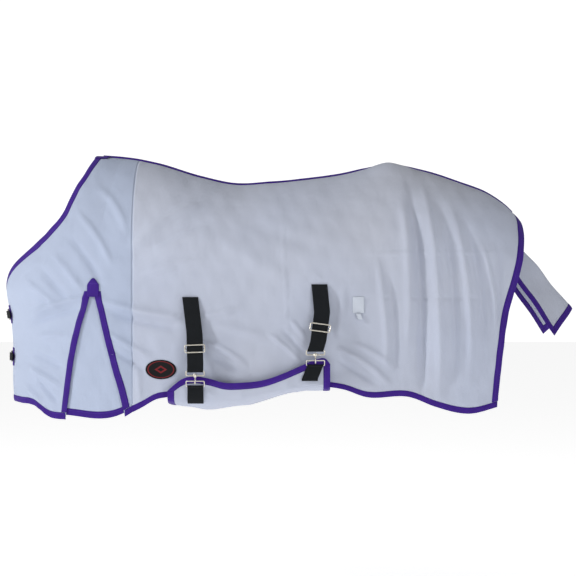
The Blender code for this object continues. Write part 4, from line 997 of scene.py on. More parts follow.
# --- The sheet -----------------------------------------------------------------------------------
@dataclass
class BodyHalf:
    """One body panel with its hem tape and its rear tape."""

    side: Side
    rows: int = 132
    columns: int = 184
    seam_gap: float = 0.0006

    def grid(self) -> tuple[Array, Array]:
        """The panel's (x, depth): evenly spaced, with each row ending on the rear edge."""
        depth = np.linspace(0, 2, self.rows)[:, None]
        share = np.linspace(0, 1, self.columns)[None, :]
        start = SEAM_X + self.seam_gap
        return start + (REAR_EDGE(depth) - start) * share, np.broadcast_to(depth, (self.rows, self.columns))

    def panel(self) -> None:
        """The cloth, as a thin closed shell on the slack body shape."""
        x, depth = self.grid()
        points = cloth(body, x, depth, self.side)
        outward = normals_of(body, x, depth, self.side.value)
        name = f"body_panel_{self.side.word}"
        piece = grid_shell(name + "_cloth", points, CLOTH, Slot.MESH, outward)
        place(piece, "rug", name)

    def tapes(self) -> None:
        """The hem tape, which starts on the shoulder behind the slit, and the rear tape."""
        side, sign = self.side, self.side.value
        x = np.linspace(SEAM_X, REAR_EDGE(2.0), 190)[1:]
        angle = np.linspace(SLIT_REAR(2.0), 0.0, 5)
        up = TAPE_WIDTH / SKIRT
        line = [np.concatenate([cloth(shoulder, angle, 2 - d, side),
                                cloth(body, x, 2 - d, side)]) for d in (0.0, up)]
        outs = [np.concatenate([normals_of(shoulder, angle, np.full_like(angle, 2 - d), sign),
                                normals_of(body, x, np.full_like(x, 2 - d), sign)])
                for d in (0.0, up)]
        name = f"hem_binding_{side.word}"
        place(tape_over(name + "_tape", *line, *outs), "rug", name)
        depth = np.linspace(0.004, 2 - up - 0.002, 130)
        edge = REAR_EDGE(depth)
        line = [cloth(body, edge - d, depth, side) for d in (0.0, TAPE_WIDTH)]
        outs = [normals_of(body, edge - d, depth, sign) for d in (0.0, TAPE_WIDTH)]
        name = f"rear_binding_{side.word}"
        place(tape_over(name + "_tape", *line, *outs), "rug", name)


@dataclass
class ShoulderHalf:
    """One shoulder panel with its slit, the gusset behind the slit, the cap and the tapes."""

    side: Side
    rows_above: int = 74
    rows_below: int = 64
    behind: int = 18
    before: int = 62
    gusset_under: float = 0.014

    def cut(self, depth: Array, front: bool) -> Array:
        """Fan angle of the line that runs from the spine to the slit's tip and down one edge."""
        above = SLIT_AT_SPINE + (TIP_ANGLE - SLIT_AT_SPINE) * np.clip(depth / TIP_DEPTH, 0, 1)
        return np.where(depth > TIP_DEPTH, (SLIT_FRONT if front else SLIT_REAR)(depth), above)

    def edge(self, depth: Array) -> Array:
        """Fan angle of the neck opening, and of the chest's centre line below it."""
        return np.where(depth < NECK_END, NECK(depth), RIGHT_ANGLE)

    def panel(self) -> None:
        """Two grids that share the line above the slit's tip, as one open surface with a wall."""
        depth = np.concatenate([np.linspace(0, TIP_DEPTH, self.rows_above),
                                np.linspace(TIP_DEPTH, 2, self.rows_below)[1:]])[:, None]
        rear = self.cut(depth, False) * np.linspace(0, 1, self.behind)
        start = self.cut(depth, True)
        front = start + (self.edge(depth) - start) * np.linspace(0, 1, self.before)
        angle = np.concatenate([rear, front], axis=1)
        depth = np.broadcast_to(depth, angle.shape)
        grid = cloth(shoulder, angle, depth, self.side)
        outward = normals_of(shoulder, angle, depth, self.side.value).reshape(-1, 3)
        index = np.arange(angle.size).reshape(angle.shape)
        index[:self.rows_above, self.behind] = index[:self.rows_above, self.behind - 1]
        quads = [np.stack([p[:-1, :-1], p[1:, :-1], p[1:, 1:], p[:-1, 1:]], axis=-1).reshape(-1, 4)
                 for p in (index[:, :self.behind], index[:, self.behind:])]
        used, faces = np.unique(np.concatenate(quads), return_inverse=True)
        name = f"shoulder_panel_{self.side.word}"
        piece = shell(name + "_cloth", grid.reshape(-1, 3)[used], faces.reshape(-1, 4),
                      metric_uv(grid)[used], CLOTH, Slot.MESH, outward[used])
        place(piece, "rug", name)

    def strip(self, stem: str, edge: tuple[Array, Array], inner: tuple[Array, Array],
              lift: float = 0.0) -> None:
        """One tape between two lines of (fan angle, depth) stations."""
        line = [cloth(shoulder, *stations, self.side, lift) for stations in (edge, inner)]
        outs = [normals_of(shoulder, *stations, self.side.value) for stations in (edge, inner)]
        name = f"{stem}_{self.side.word}"
        place(tape_over(name + "_tape", *line, *outs), "rug", name)

    def neck_inner(self, depth: Array) -> tuple[Array, Array]:
        """Stations one tape's width in from the neck opening, square to it.

        The step to one side is freed of its part along the edge, and made one tape's width long.
        """
        step = -0.01
        here = shoulder(NECK(depth), depth, 1)
        aside = (shoulder(NECK(depth) + 0.1, depth, 1) - here) / 0.1
        ahead = shoulder(NECK(depth + step), depth + step, 1) - here
        share = np.sum(aside * ahead, axis=-1) / np.sum(ahead * ahead, axis=-1)
        share = share * ramp(depth, 0.0, 0.2)
        size = TAPE_WIDTH / np.linalg.norm(aside - share[:, None] * ahead, axis=-1)
        turn = 1 - share * (NECK(depth + step) - NECK(depth))
        return NECK(depth) - size * turn, depth + size * share * step

    def tapes(self) -> None:
        """Tapes of the neck opening, the slit's two edges and the hem before the slit."""
        depth = np.linspace(0.003, NECK_END - 0.002, 110)
        self.strip("neck_binding", (NECK(depth), depth), self.neck_inner(depth))
        across = math.degrees(TAPE_WIDTH / FAN_RADIUS)
        up = TAPE_WIDTH / SKIRT
        depth = np.linspace(NECK_END, 2 - up - 0.002, 90)
        self.strip("gusset_binding_rear", (SLIT_REAR(depth), depth), (SLIT_REAR(depth) - across, depth))
        self.strip("gusset_binding_front", (SLIT_FRONT(depth), depth),
                   (SLIT_FRONT(depth) + across, depth))
        angle = np.linspace(SLIT_FRONT(2.0), 89.8, 90)
        hem = np.full_like(angle, 2.0)
        self.strip("chest_hem_binding", (angle, hem), (angle, hem - up))

    def gusset(self) -> None:
        """The loose insert behind the slit, with a soft bag in it, and the tape of its hem."""
        under = math.degrees(self.gusset_under / FAN_RADIUS)
        depth = np.linspace(TIP_DEPTH + 0.05, 1.975, 56)[:, None]
        low = np.maximum(SLIT_REAR(depth) - under, 0.4)
        share = np.linspace(0, 1, 34)[None, :]
        angle = low + (SLIT_FRONT(depth) + under - low) * share
        depth = np.broadcast_to(depth, angle.shape)
        inset = -GUSSET_INSET - 0.0035 * np.sin(math.pi * share) * ramp(depth, 1.35, 1.7)
        points = cloth(shoulder, angle, depth, self.side, inset)
        outward = normals_of(shoulder, angle, depth, self.side.value)
        name = f"shoulder_gusset_{self.side.word}"
        piece = grid_shell(name + "_cloth", points, CLOTH, Slot.MESH, outward)
        place(piece, "rug", name)
        last = TAPE_WIDTH / SKIRT
        above = depth[-1, 1:-1] - last
        bag = -GUSSET_INSET - 0.0035 * np.sin(math.pi * share[0, 1:-1]) * ramp(above, 1.35, 1.7)
        inner = cloth(shoulder, angle[-1, 1:-1], above, self.side, bag)
        name = f"gusset_hem_binding_{self.side.word}"
        tape = tape_over(name + "_tape", points[-1, 1:-1], inner, outward[-1, 1:-1], outward[-1, 1:-1])
        place(tape, "rug", name)

    def cap(self) -> None:
        """The pointed patch at the head of the slit: its width grows to full over the point."""
        half, long, point = 0.019, 0.057, 0.020
        fall = np.concatenate([np.linspace(0.0, point, 14), np.linspace(point, long, 18)[1:]])[:, None]
        width = half * np.clip(0.10 + 0.90 * (fall / point) ** 0.8, 0, 1)
        share = np.linspace(-1, 1, 15)[None, :]
        angle = TIP_ANGLE + np.degrees(width * share / FAN_RADIUS)
        depth = np.broadcast_to(TIP_DEPTH + (fall - 0.010) / SKIRT, angle.shape)
        over = CLOTH / 2 + 2 * FIT + TAPE + PATCH / 2
        dome = 0.0009 * (1 - share**4)
        points = cloth(shoulder, angle, depth, self.side, over + dome)
        name = f"gusset_cap_{self.side.word}"
        outward = normals_of(shoulder, angle, depth, self.side.value)
        place(grid_shell(name + "_patch", points, PATCH, Slot.TAPE, outward), "rug", name)


@dataclass
class Topline:
    """The tape over the spine seam, raised by the turnings under it, and the withers patch."""

    ridge: float = 0.0065
    reach: float = 0.062
    back: float = 0.040

    def tape(self) -> None:
        """A strip laid over both edges of the seam, from behind the withers to the rear edge."""
        across = np.linspace(-TAPE_WIDTH / 2, TAPE_WIDTH / 2, 9)
        lift = CLOTH / 2 + FIT + TAPE / 2
        start = NECK(0.0) - math.degrees(TAPE_WIDTH / 0.236)
        angle, x = np.linspace(start, 0, 30)[:-1], np.linspace(SEAM_X, REAR_EDGE(0.0) - 0.021, 220)
        columns = []
        for offset in across:
            side = Side.LEFT if offset < 0 else Side.RIGHT
            depth = np.abs(offset) / TAPE_WIDTH * CREST
            columns.append(np.concatenate([cloth(shoulder, angle, depth, side, lift),
                                           cloth(body, x, depth, side, lift)]))
        grid = np.stack(columns)
        grid[..., 1] = across[:, None]
        grid[..., 2] += (self.ridge * (1 - (across / across[-1]) ** 2))[:, None]
        place(grid_shell("spine_tape", grid, TAPE, Slot.TAPE, np.array([0.0, 0.0, 1.0])),
              "rug", "spine_binding")

    def patch(self) -> None:
        """A doubled patch that follows the top of the neck opening down both sides."""
        depths = np.linspace(0, 0.5, 60)
        edge = shoulder(NECK(depths), depths, 1)
        levels = np.interp(np.linspace(0, self.reach, 22), distances(edge), depths)
        over = CLOTH / 2 + 2 * (FIT + TAPE) + PATCH / 2 + FIT
        inward = np.linspace(-0.0015, self.back, 14)
        per_degree = np.linalg.norm(shoulder(NECK(levels) - 0.1, levels, 1)
                                    - shoulder(NECK(levels), levels, 1), axis=-1) / 0.1
        halves = []
        for side, order in ((Side.LEFT, slice(None, None, -1)), (Side.RIGHT, slice(None))):
            angle = (NECK(levels) - inward[:, None] / per_degree)[:, order]
            halves.append(cloth(shoulder, angle, np.broadcast_to(levels[order], angle.shape), side, over))
        grid = np.concatenate(halves, axis=1)
        place(grid_shell("wither_cover", grid, PATCH, Slot.TAPE, np.array([0.0, 0.0, 1.0])),
              "rug", "wither_patch")


# --- Belly flap and surcingles -------------------------------------------------------------------
FLAP_TOP = Line(((0.236, -0.770), (0.259, -0.750), (0.285, -0.732), (0.319, -0.725),
                 (0.37, -0.732), (0.4135, -0.744), (0.478, -0.744), (0.542, -0.736),
                 (0.606, -0.714), (0.666, -0.688), (0.713, -0.669), (0.739, -0.669),
                 (0.7516, -0.684)))
FLAP_BOTTOM = Line(((0.236, -0.822), (0.30, -0.838), (0.44, -0.838), (0.55, -0.812),
                    (0.63, -0.786), (0.7516, -0.776)))
FLAP_FRONT_X, FLAP_REAR_X = 0.236, 0.7516
FLAP_STAND_OFF, FLAP_SEAM_DROP = 0.016, 0.0038
CLIP_STAND_OFF, RING_REACH = 0.0195, 0.0205
EYE_WIRE, EYE_WIDTH, EYE_HEIGHT = 0.0022, 0.0580, 0.0140
COLLAR_RADIUS, COLLAR_BORE, COLLAR_HEIGHT = 0.0070, 0.0034, 0.0070
HOOK_DROP, HOOK_RADIUS, HOOK_WIRE, GATE_WIRE = 0.0320, 0.0087, 0.0022, 0.0011
RING_WIRE, RING_WIDTH = 0.00175, 0.0575
SLIDE_WIDTH, SLIDE_HEIGHT, SLIDE_WIRE = 0.0630, 0.0235, 0.0021
SIDEWAYS = np.array([1.0, 0.0, 0.0])


def flap_section(x: float, count: int = 240) -> Array:
    """The flap's line at x: upright, then a soft bend under the belly and up to its off-side seam."""
    turn = np.linspace(0, math.pi, count)
    bottom, start = float(FLAP_BOTTOM(x)), float(HEM(x)) + 0.004
    seam_y, seam_z = float(HALF_WIDTH(x)) - TUCK + CENTRE_GAP / 2, float(HEM(x)) - FLAP_SEAM_DROP
    out_y = float(HALF_WIDTH(x)) + FLAP_STAND_OFF
    near = turn < math.pi / 2
    rise = np.where(near, start - bottom, seam_z - bottom)
    reach = np.where(near, out_y, seam_y)
    y = -np.sign(np.cos(turn)) * reach * np.abs(np.cos(turn)) ** 0.55
    z = bottom + rise * (1 - np.sin(turn) ** 0.75)
    top = float(FLAP_TOP(x))
    if top > start:
        upright = np.linspace(top, start, 24)[:-1]
        y = np.concatenate([np.full(len(upright), -out_y), y])
        z = np.concatenate([upright, z])
    keep = (z <= top + 1e-9) | (y > 0)
    return np.stack([np.full(keep.sum(), float(x)), y[keep], z[keep]], axis=-1)


def grid_normals(grid: Array, towards: Array) -> Array:
    """Unit normals of a grid of points, on the side that faces the given directions."""
    found = unit(np.cross(np.gradient(grid, axis=0), np.gradient(grid, axis=1)))
    return found * np.sign(np.sum(found * towards, axis=-1, keepdims=True))


@dataclass
class BellyFlap:
    """The flap under the belly with the tape round its three free edges."""

    stations: int = 96
    rows: int = 120

    def grid(self) -> tuple[Array, Array]:
        """Points and outward normals: one column for each x, evenly spaced along its section."""
        xs = np.linspace(FLAP_FRONT_X, FLAP_REAR_X, self.stations)
        grid = np.stack([resample(flap_section(x), self.rows) for x in xs])
        away = grid * np.array([0, 1, 1]) - np.array([0.0, 0.0, -0.55])
        normals = grid_normals(grid, away)
        edge = np.minimum(np.linspace(0, 1, self.rows)[None, :] * 0.75, np.minimum(
            xs - FLAP_FRONT_X, FLAP_REAR_X - xs)[:, None])
        free = ramp(edge, 0.0, 0.05) * (1 - ramp(grid[..., 1], 0.15, 0.28))
        wave = (0.0030 * np.sin(26 * grid[..., 0] + 5 * grid[..., 2] + 0.8)
                + 0.0022 * np.sin(14 * grid[..., 0] - 9 * grid[..., 1])
                + 0.0010 * np.sin(61 * grid[..., 0] + 38 * grid[..., 1]))
        return grid - normals * (np.abs(wave) * free)[..., None], normals

    def build(self) -> None:
        """The cloth, and three mitred strips of tape joined as one piece."""
        grid, normals = self.grid()
        piece = grid_shell("belly_flap_cloth", grid, CLOTH, Slot.MESH, normals)
        place(piece, "belly_flap", "belly_flap")
        across, down = np.linspace(0, 1, self.stations), np.linspace(0, 1, self.rows)
        span = FLAP_REAR_X - FLAP_FRONT_X
        deep = np.mean([distances(column)[-1] for column in grid])
        u_in, v_in = TAPE_WIDTH / span, TAPE_WIDTH / deep
        free = down[down < 0.975]

        def at(source: Array, u: Array, v: Array) -> Array:
            """The grid's value at shares u along and v down, by linear blending."""
            fu, fv = u * (self.stations - 1), v * (self.rows - 1)
            i = np.clip(fu.astype(int), 0, self.stations - 2)
            j = np.clip(fv.astype(int), 0, self.rows - 2)
            p, q = (fu - i)[:, None], (fv - j)[:, None]
            return ((source[i, j] * (1 - p) + source[i + 1, j] * p) * (1 - q)
                    + (source[i, j + 1] * (1 - p) + source[i + 1, j + 1] * p) * q)

        zero = np.zeros_like
        strips = (("near", across, zero(across), u_in + across * (1 - 2 * u_in), zero(across) + v_in),
                  ("front", zero(free), free, zero(free) + u_in, v_in + free * (1 - v_in)),
                  ("rear", zero(free) + 1, free, zero(free) + 1 - u_in, v_in + free * (1 - v_in)))
        tapes = [tape_over(f"flap_tape_{word}", at(grid, u, v), at(grid, iu, iv),
                           unit(at(normals, u, v)), unit(at(normals, iu, iv)))
                 for word, u, v, iu, iv in strips]
        place(join("belly_flap_tape", tapes), "belly_flap", "belly_flap_binding")


@dataclass
class Surcingle:
    """One surcingle: strap, slide, swivel clip, keeper ring and the tab on the flap."""

    word: str
    top: tuple[float, float]
    run: tuple[tuple[float, float], tuple[float, float]]
    bar: tuple[float, float]
    slide_z: float
    tab_long: float
    tab_lean: float

    @property
    def centre(self) -> Array:
        """The middle of the eye's upper bar, which the strap goes round."""
        x, z = self.bar
        return np.array([x, -float(HALF_WIDTH(x)) - FLAP_STAND_OFF - CLIP_STAND_OFF, z])

    def line(self) -> Array:
        """The strap's outer run, from its sewn top to the bar."""
        top_x, top_z = self.top
        half = WEBBING_WIDTH / 2
        edge = np.array([top_x - half, top_x + half])
        base = body(edge, body_depth(edge, np.array([top_z, top_z])), -1)
        out = normals_of(body, edge, body_depth(edge, np.array([top_z, top_z])), -1)
        top_y = (base + out * (CLOTH / 2 + FIT + WEBBING))[:, 1].min()
        loop = EYE_WIRE + RUNNING + WEBBING / 2
        stops = np.array([self.top, *self.run, self.bar])
        share = (top_z - stops[:, 1]) / (top_z - self.bar[1])
        y = top_y + (self.centre[1] - loop - top_y) * share
        return np.stack([stops[:, 0], y, stops[:, 1]], axis=-1)

    def strap(self) -> None:
        """Webbing down the outer run, round the bar and back up inside it."""
        line, loop = self.line(), EYE_WIRE + RUNNING + WEBBING / 2
        gap = np.array([0, 2 * SLIDE_WIRE + 2 * RUNNING + WEBBING, 0])
        turn = np.radians(np.linspace(180, 360, 17))
        bend = self.centre + loop * np.stack([0 * turn, np.cos(turn), np.sin(turn)], axis=-1)
        outer = rounded(np.concatenate([line[:3], bend[:1]]), 60, 8)
        inner = rounded(np.stack([bend[-1], line[2] + gap, line[1] + gap]), 30, 4)
        path = np.concatenate([outer[:-1], bend, inner[1:]])
        name = f"surcingle_strap_{self.word}"
        place(ribbon(name + "_webbing", path, SIDEWAYS, WEBBING_WIDTH, WEBBING, Slot.BLACK), "rug", name)

    def slide(self) -> None:
        """The length adjuster: a wire frame before the strap and a bar behind it."""
        line = self.line()
        start, end = line[1], line[2]
        at = start + (end - start) * (start[2] - self.slide_z) / (start[2] - end[2])
        up = unit(start - end)
        across = unit(SIDEWAYS - up * up[0])
        out = np.cross(up, across)
        out = out * -np.sign(out[1])
        front = WEBBING / 2 + RUNNING + SLIDE_WIRE
        outline = rounded_rectangle(SLIDE_WIDTH, SLIDE_HEIGHT, 0.0045)
        frame_wire = wire("slide_frame", at + outline[:, :1] * across + outline[:, 1:] * up
                          + out * front, SLIDE_WIRE, out, loop=True)
        half, bend = SLIDE_WIDTH / 2, WEBBING_WIDTH / 2 + 0.0022
        dip = -(WEBBING / 2 + RUNNING + SLIDE_WIRE * 0.8)
        stops = np.array([(-half, front), (-bend - 0.001, front * 0.2), (-bend + 0.0015, dip), (0, dip),
                          (bend - 0.0015, dip), (bend + 0.001, front * 0.2), (half, front)])
        path = rounded(at + stops[:, :1] * across + stops[:, 1:] * out, 60, 4)
        bar = wire("slide_bar", path, SLIDE_WIRE * 0.8, up)
        name = f"slide_{self.word}"
        place(join(name + "_wire", [frame_wire, bar]), name, name)

    def turned(self, name: str, profile: list[tuple[float, float]], sides: int = 40) -> bpy.types.Object:
        """A turned piece on the clip's upright axis, from (radius, height) points."""
        r, z = np.array(profile).T
        turn = np.arange(sides) * TURN / sides
        rings = np.stack([r[:, None] * np.cos(turn), r[:, None] * np.sin(turn),
                          np.broadcast_to(z[:, None], (len(r), sides))], axis=-1) + self.centre
        uv = np.stack([np.broadcast_to(turn * 0.006, rings.shape[:2]),
                       np.broadcast_to(z[:, None], rings.shape[:2])], axis=-1)
        return swept(name, rings, uv, Slot.NICKEL)

    def clip(self) -> None:
        """The eye with its collar, the hook with its shaft and the sprung gate."""
        low, half = -EYE_HEIGHT, COLLAR_HEIGHT / 2
        outline = rounded_rectangle(EYE_WIDTH, EYE_HEIGHT, 0.0040)
        flat = np.array([0.0, 1.0, 0.0])
        path = self.centre + np.stack([outline[:, 0], 0 * outline[:, 0], outline[:, 1] + low / 2], axis=-1)
        eye = wire("eye_wire", path, EYE_WIRE, flat, loop=True)
        bore, wide, soft = COLLAR_BORE, COLLAR_RADIUS, 0.0012
        collar = self.turned("eye_collar", [
            (bore, low - half), (wide - soft, low - half), (wide, low - half + soft),
            (wide, low + half - soft), (wide - soft, low + half), (bore, low + half)])
        place(join(f"clip_eye_{self.word}_wire", [eye, collar]), f"clip_eye_{self.word}",
              f"clip_eye_{self.word}")
        shaft, head = bore - RUNNING, wide - 0.0016
        over, under = low + half + RUNNING, low - half - RUNNING
        swivel = self.turned("hook_swivel", [
            (shaft * 0.2, over + 0.0022), (head * 0.7, over + 0.0020), (head, over + 0.0010), (head, over),
            (shaft, over), (shaft, under), (head, under), (head, under - 0.0012),
            (head * 0.7, under - 0.0022), (shaft * 0.2, under - 0.0023)])
        angle = np.radians(np.linspace(104, 375, 60))
        bend = np.stack([0 * angle, -HOOK_RADIUS * np.cos(angle),
                         HOOK_RADIUS * np.sin(angle) - HOOK_DROP], axis=-1)
        neck = np.array([(0, 0, under - 0.0010), (0, 0, under - 0.0034)])
        path = rounded(np.concatenate([neck, bend]), 90, 3) + self.centre
        hook = wire("hook_bend", path, HOOK_WIRE, SIDEWAYS)
        place(join(f"clip_hook_{self.word}_wire", [swivel, hook]), f"clip_hook_{self.word}",
              f"clip_hook_{self.word}")
        gate = self.centre + np.array([(0, -0.0036, -0.0246), (0, -0.0055, -0.0262), (0, -0.0074, -0.0277)])
        place(wire(f"clip_gate_{self.word}_wire", gate, GATE_WIRE, SIDEWAYS), f"clip_gate_{self.word}",
              f"clip_gate_{self.word}")

    def held(self) -> tuple[Array, Array]:
        """The ring's bar in the tab's fold, and its bar in the hook."""
        hooked = self.centre - np.array([0, 0, HOOK_DROP])
        ends = hooked[0] + np.array([-0.5, 0.5]) * WEBBING_WIDTH
        sewn = CLOTH / 2 + 0.0005 + 2 * FIT + TAPE + WEBBING
        held_y = -float(HALF_WIDTH(ends).max()) - FLAP_STAND_OFF - sewn - FIT - RUNNING - RING_WIRE
        drop = math.sqrt(RING_REACH**2 - (held_y - hooked[1]) ** 2)
        return np.array([hooked[0], held_y, hooked[2] - drop]), hooked

    def ring_and_tab(self) -> None:
        """The keeper ring, and the webbing tab that is sewn to the flap and folds round it."""
        held, hooked = self.held()
        rise = hooked - held
        long = float(np.linalg.norm(rise))
        outline = rounded_rectangle(RING_WIDTH, long, 0.0035)
        path = (held + hooked) / 2 + outline[:, :1] * SIDEWAYS + outline[:, 1:] * rise / long
        name = f"keeper_ring_{self.word}"
        place(wire(name + "_wire", path, RING_WIRE, np.cross(SIDEWAYS, rise), loop=True), name, name)
        section = flap_section(held[0])
        section = section[section[:, 1] < 0]
        drop = np.interp(-(held[2] - 0.006), -section[:, 2], distances(section))
        wanted = drop + np.linspace(0, self.tab_long, 24)
        under = np.stack([np.interp(wanted, distances(section), section[:, k]) for k in range(3)], axis=-1)
        lead = np.gradient(under, axis=0)
        out = unit(np.stack([0 * lead[:, 0], lead[:, 2], -lead[:, 1]], axis=-1))
        low = CLOTH / 2 + 3 * FIT + TAPE + WEBBING / 2 + 0.0010
        turn = np.radians(np.linspace(10, 245, 16))
        reach = RING_WIRE + RUNNING + WEBBING / 2
        fold = held + reach * np.stack([0 * turn, np.cos(turn), np.sin(turn)], axis=-1)
        path = np.concatenate([(under + out * low)[::-1], fold, under + out * (low + FIT + WEBBING)])
        lean = self.tab_lean * np.clip((held[2] - path[:, 2]) / self.tab_long, 0, 1)
        name = f"belly_tab_{self.word}"
        place(ribbon(name + "_webbing", path, SIDEWAYS, WEBBING_WIDTH, WEBBING, Slot.BLACK, lean),
              "belly_flap", name)

    def build(self) -> None:
        """Every piece of the surcingle."""
        self.strap()
        self.slide()
        self.clip()
        self.ring_and_tab()


# --- Chest closure -------------------------------------------------------------------------------
@dataclass
class ChestFastening:
    """One chest fastening: two sewn patches, the chape, the buckle with its prong, the strap."""

    word: str
    level: float
    width: float = 0.026
    buckle_wire: float = 0.0019
    buckle_long: float = 0.0300
    toe: float = 0.004

    @property
    def heel(self) -> float:
        """Distance of the heel bar from the chest's centre line."""
        return self.toe + self.buckle_long

    def strip(self, stops: list[tuple[float, float]], width: float, name: str, slot: Slot,
              passes: int) -> None:
        """Webbing laid round the chest through (distance from the centre line, lift) stops."""
        stops = np.array(stops)
        flat = np.stack([stops[:, 0], stops[:, 1], 0 * stops[:, 0]], axis=-1)
        fine = rounded(flat, 110, passes)
        height = np.linspace(-width / 2, width / 2, 9)[:, None]
        grid = on_chest(fine[None, :, 0] + 0 * height, self.level + height + 0 * fine[None, :, 0],
                        fine[None, :, 1] + 0 * height)
        piece = grid_shell(name + "_webbing", grid, WEBBING, slot, grid_normals(grid, np.array([-1.0, 0, 0])))
        place(piece, "rug", name)

    def build(self) -> None:
        """The layers from the cloth outwards: patches, strap and chape, buckle, strap's end."""
        laid = CLOTH / 2 + 2 * FIT + PATCH / 2
        for side, turn in ((Side.LEFT, 1), (Side.RIGHT, -1)):
            across = turn * np.linspace(0.008, 0.068, 20)[None, :]
            height = np.linspace(-0.030, 0.030, 20)[:, None]
            grid = on_chest(across + 0 * height, self.level + height + 0 * across, laid)
            name = f"chest_patch_{self.word}_{side.word}"
            cover = grid_shell(name + "_cover", grid, PATCH, Slot.TAPE, np.array([-1.0, 0.0, 0.0]))
            place(cover, "rug", name)
        low = laid + PATCH / 2 + FIT + WEBBING / 2
        heel_lift = low + WEBBING / 2 + RUNNING + self.buckle_wire
        upper = heel_lift + self.buckle_wire + RUNNING + WEBBING / 2
        over, toe, heel = upper + WEBBING + RUNNING, self.toe, self.heel
        self.strip([(-0.062, low), (-0.030, low), (toe, low), (toe + 0.006, low + 0.0015),
                    (heel - 0.010, over), (heel + 0.012, over), (heel + 0.046, over - 0.002)],
                   self.width, f"chest_strap_{self.word}", Slot.BLACK, 3)
        reach = self.buckle_wire + RUNNING + WEBBING / 2
        turn = np.radians(np.linspace(0, 180, 15))
        fold = list(zip(heel - reach * np.sin(turn), heel_lift - reach * np.cos(turn)))
        self.strip([(heel + 0.026, low), (heel + 0.012, low), *fold, (heel + 0.010, upper),
                    (heel + 0.022, upper)], self.width - 0.001, f"chest_chape_{self.word}", Slot.BLACK, 1)
        self.buckle(heel_lift, over)

    def buckle(self, heel_lift: float, over: float) -> None:
        """The frame, and the prong that wraps the heel bar and rests on the toe bar."""
        start, end = (on_chest(a, self.level, heel_lift) for a in (self.heel, self.toe))
        along = unit(end - start)
        middle = (self.toe + self.heel) / 2
        up = on_chest(middle, self.level + 0.01, heel_lift) - on_chest(middle, self.level - 0.01, heel_lift)
        up = unit(up - along * np.dot(up, along))
        out = np.cross(along, up)
        out = out * np.sign(np.dot(out, start - np.array([SEAM_X, 0.0, self.level])))
        outline = rounded_rectangle(float(np.linalg.norm(end - start)),
                                    self.width + 2 * (self.buckle_wire + 0.0022), 0.0035)
        path = (start + end) / 2 + outline[:, :1] * along + outline[:, 1:] * up
        name = f"chest_buckle_{self.word}"
        place(wire(name + "_wire", path, self.buckle_wire, out, loop=True), "rug", name)
        ring = self.buckle_wire + RUNNING + GATE_WIRE
        turn = np.radians(np.linspace(-55, 20, 9))[:, None]
        clear = over - heel_lift + WEBBING / 2 + RUNNING + GATE_WIRE
        stops = np.stack([start + along * 0.0068 + out * clear,
                          start + along * 0.0095 + out * (clear + 0.0008),
                          end + out * ring - along * 0.002,
                          end + out * (ring - 0.0002) + along * 0.004])
        path = np.concatenate([start + ring * (along * np.cos(turn) + out * np.sin(turn)), stops])
        name = f"chest_prong_{self.word}"
        place(wire(name + "_wire", rounded(path, 60, 2), GATE_WIRE, up), name, name)


# --- Tail flap and trims -------------------------------------------------------------------------
@dataclass
class TailFlap:
    """The flap over the dock, a soft roof along its ridge, with tape round its free edges."""

    pivot: tuple[float, float, float] = (1.350, 0.0, -0.238)
    tip: tuple[float, float, float] = (1.584, 0.0, -0.510)
    half_width: float = 0.105
    fall: tuple[float, float] = (-0.080, -0.090)
    rows: int = 58
    columns: int = 61

    def surface(self, s: Array, c: Array) -> Array:
        """A point at share s down the ridge and c across it, from -1 to 1.

        The fall from the ridge is a rounded wedge, the square root of c squared plus a little,
        and the waves die out towards the seam.
        """
        ridge = np.array(self.tip) - np.array(self.pivot)
        top = (np.sqrt(c**2 + 0.03) - math.sqrt(0.03)) / (math.sqrt(1.03) - math.sqrt(0.03))
        spread = (0.62 + 0.38 * s) * top
        x = self.pivot[0] + ridge[0] * s + self.fall[0] * spread
        y = self.half_width * c * (0.88 + 0.12 * s)
        z = self.pivot[2] + ridge[2] * s + self.fall[1] * spread
        wave = 0.0028 * np.sin(9.0 * c + 5.0 * s) + 0.0022 * np.sin(14.0 * s - 4.0 * c + 1.0)
        wave = wave * ramp(s, 0.05, 0.5) * (1 - 0.4 * c**2)
        return np.stack([x + 0.7 * wave, y, z + 0.7 * wave], axis=-1)

    def build(self) -> None:
        """The cloth and one tape down a side, along the bottom and back up."""
        s, c = np.meshgrid(np.linspace(0, 1, self.rows), np.linspace(-1, 1, self.columns), indexing="ij")
        out = np.array([0.7, 0.0, 0.7])
        grid = self.surface(s, c)
        piece = grid_shell("tail_flap_cloth", grid, CLOTH, Slot.MESH, grid_normals(grid, out))
        place(piece, "tail_flap", "tail_flap")
        slant = math.hypot(self.half_width, *self.fall)
        ridge = float(np.linalg.norm(np.array(self.tip) - np.array(self.pivot)))
        s_in, c_in = TAPE_WIDTH / ridge, TAPE_WIDTH / slant
        t = np.linspace(0, 1, 60)
        one = np.ones_like(t)
        strips = (("left", t, -one, t * (1 - s_in), -one + c_in),
                  ("right", t, one, t * (1 - s_in), one - c_in),
                  ("bottom", one, 2 * t - 1, one - s_in, (2 * t - 1) * (1 - c_in)))
        tapes = []
        for word, s0, c0, s1, c1 in strips:
            step = 1e-3
            outs = []
            for s, c in ((s0, c0), (s1, c1)):
                down = self.surface(s + step, c) - self.surface(s - step, c)
                over = self.surface(s, c + step) - self.surface(s, c - step)
                found = unit(np.cross(down, over))
                outs.append(found * np.sign(np.sum(found * out, axis=-1, keepdims=True)))
            tapes.append(tape_over(f"tail_tape_{word}", self.surface(s0, c0), self.surface(s1, c1), *outs))
        place(join("tail_flap_tape", tapes), "tail_flap", "tail_flap_binding")


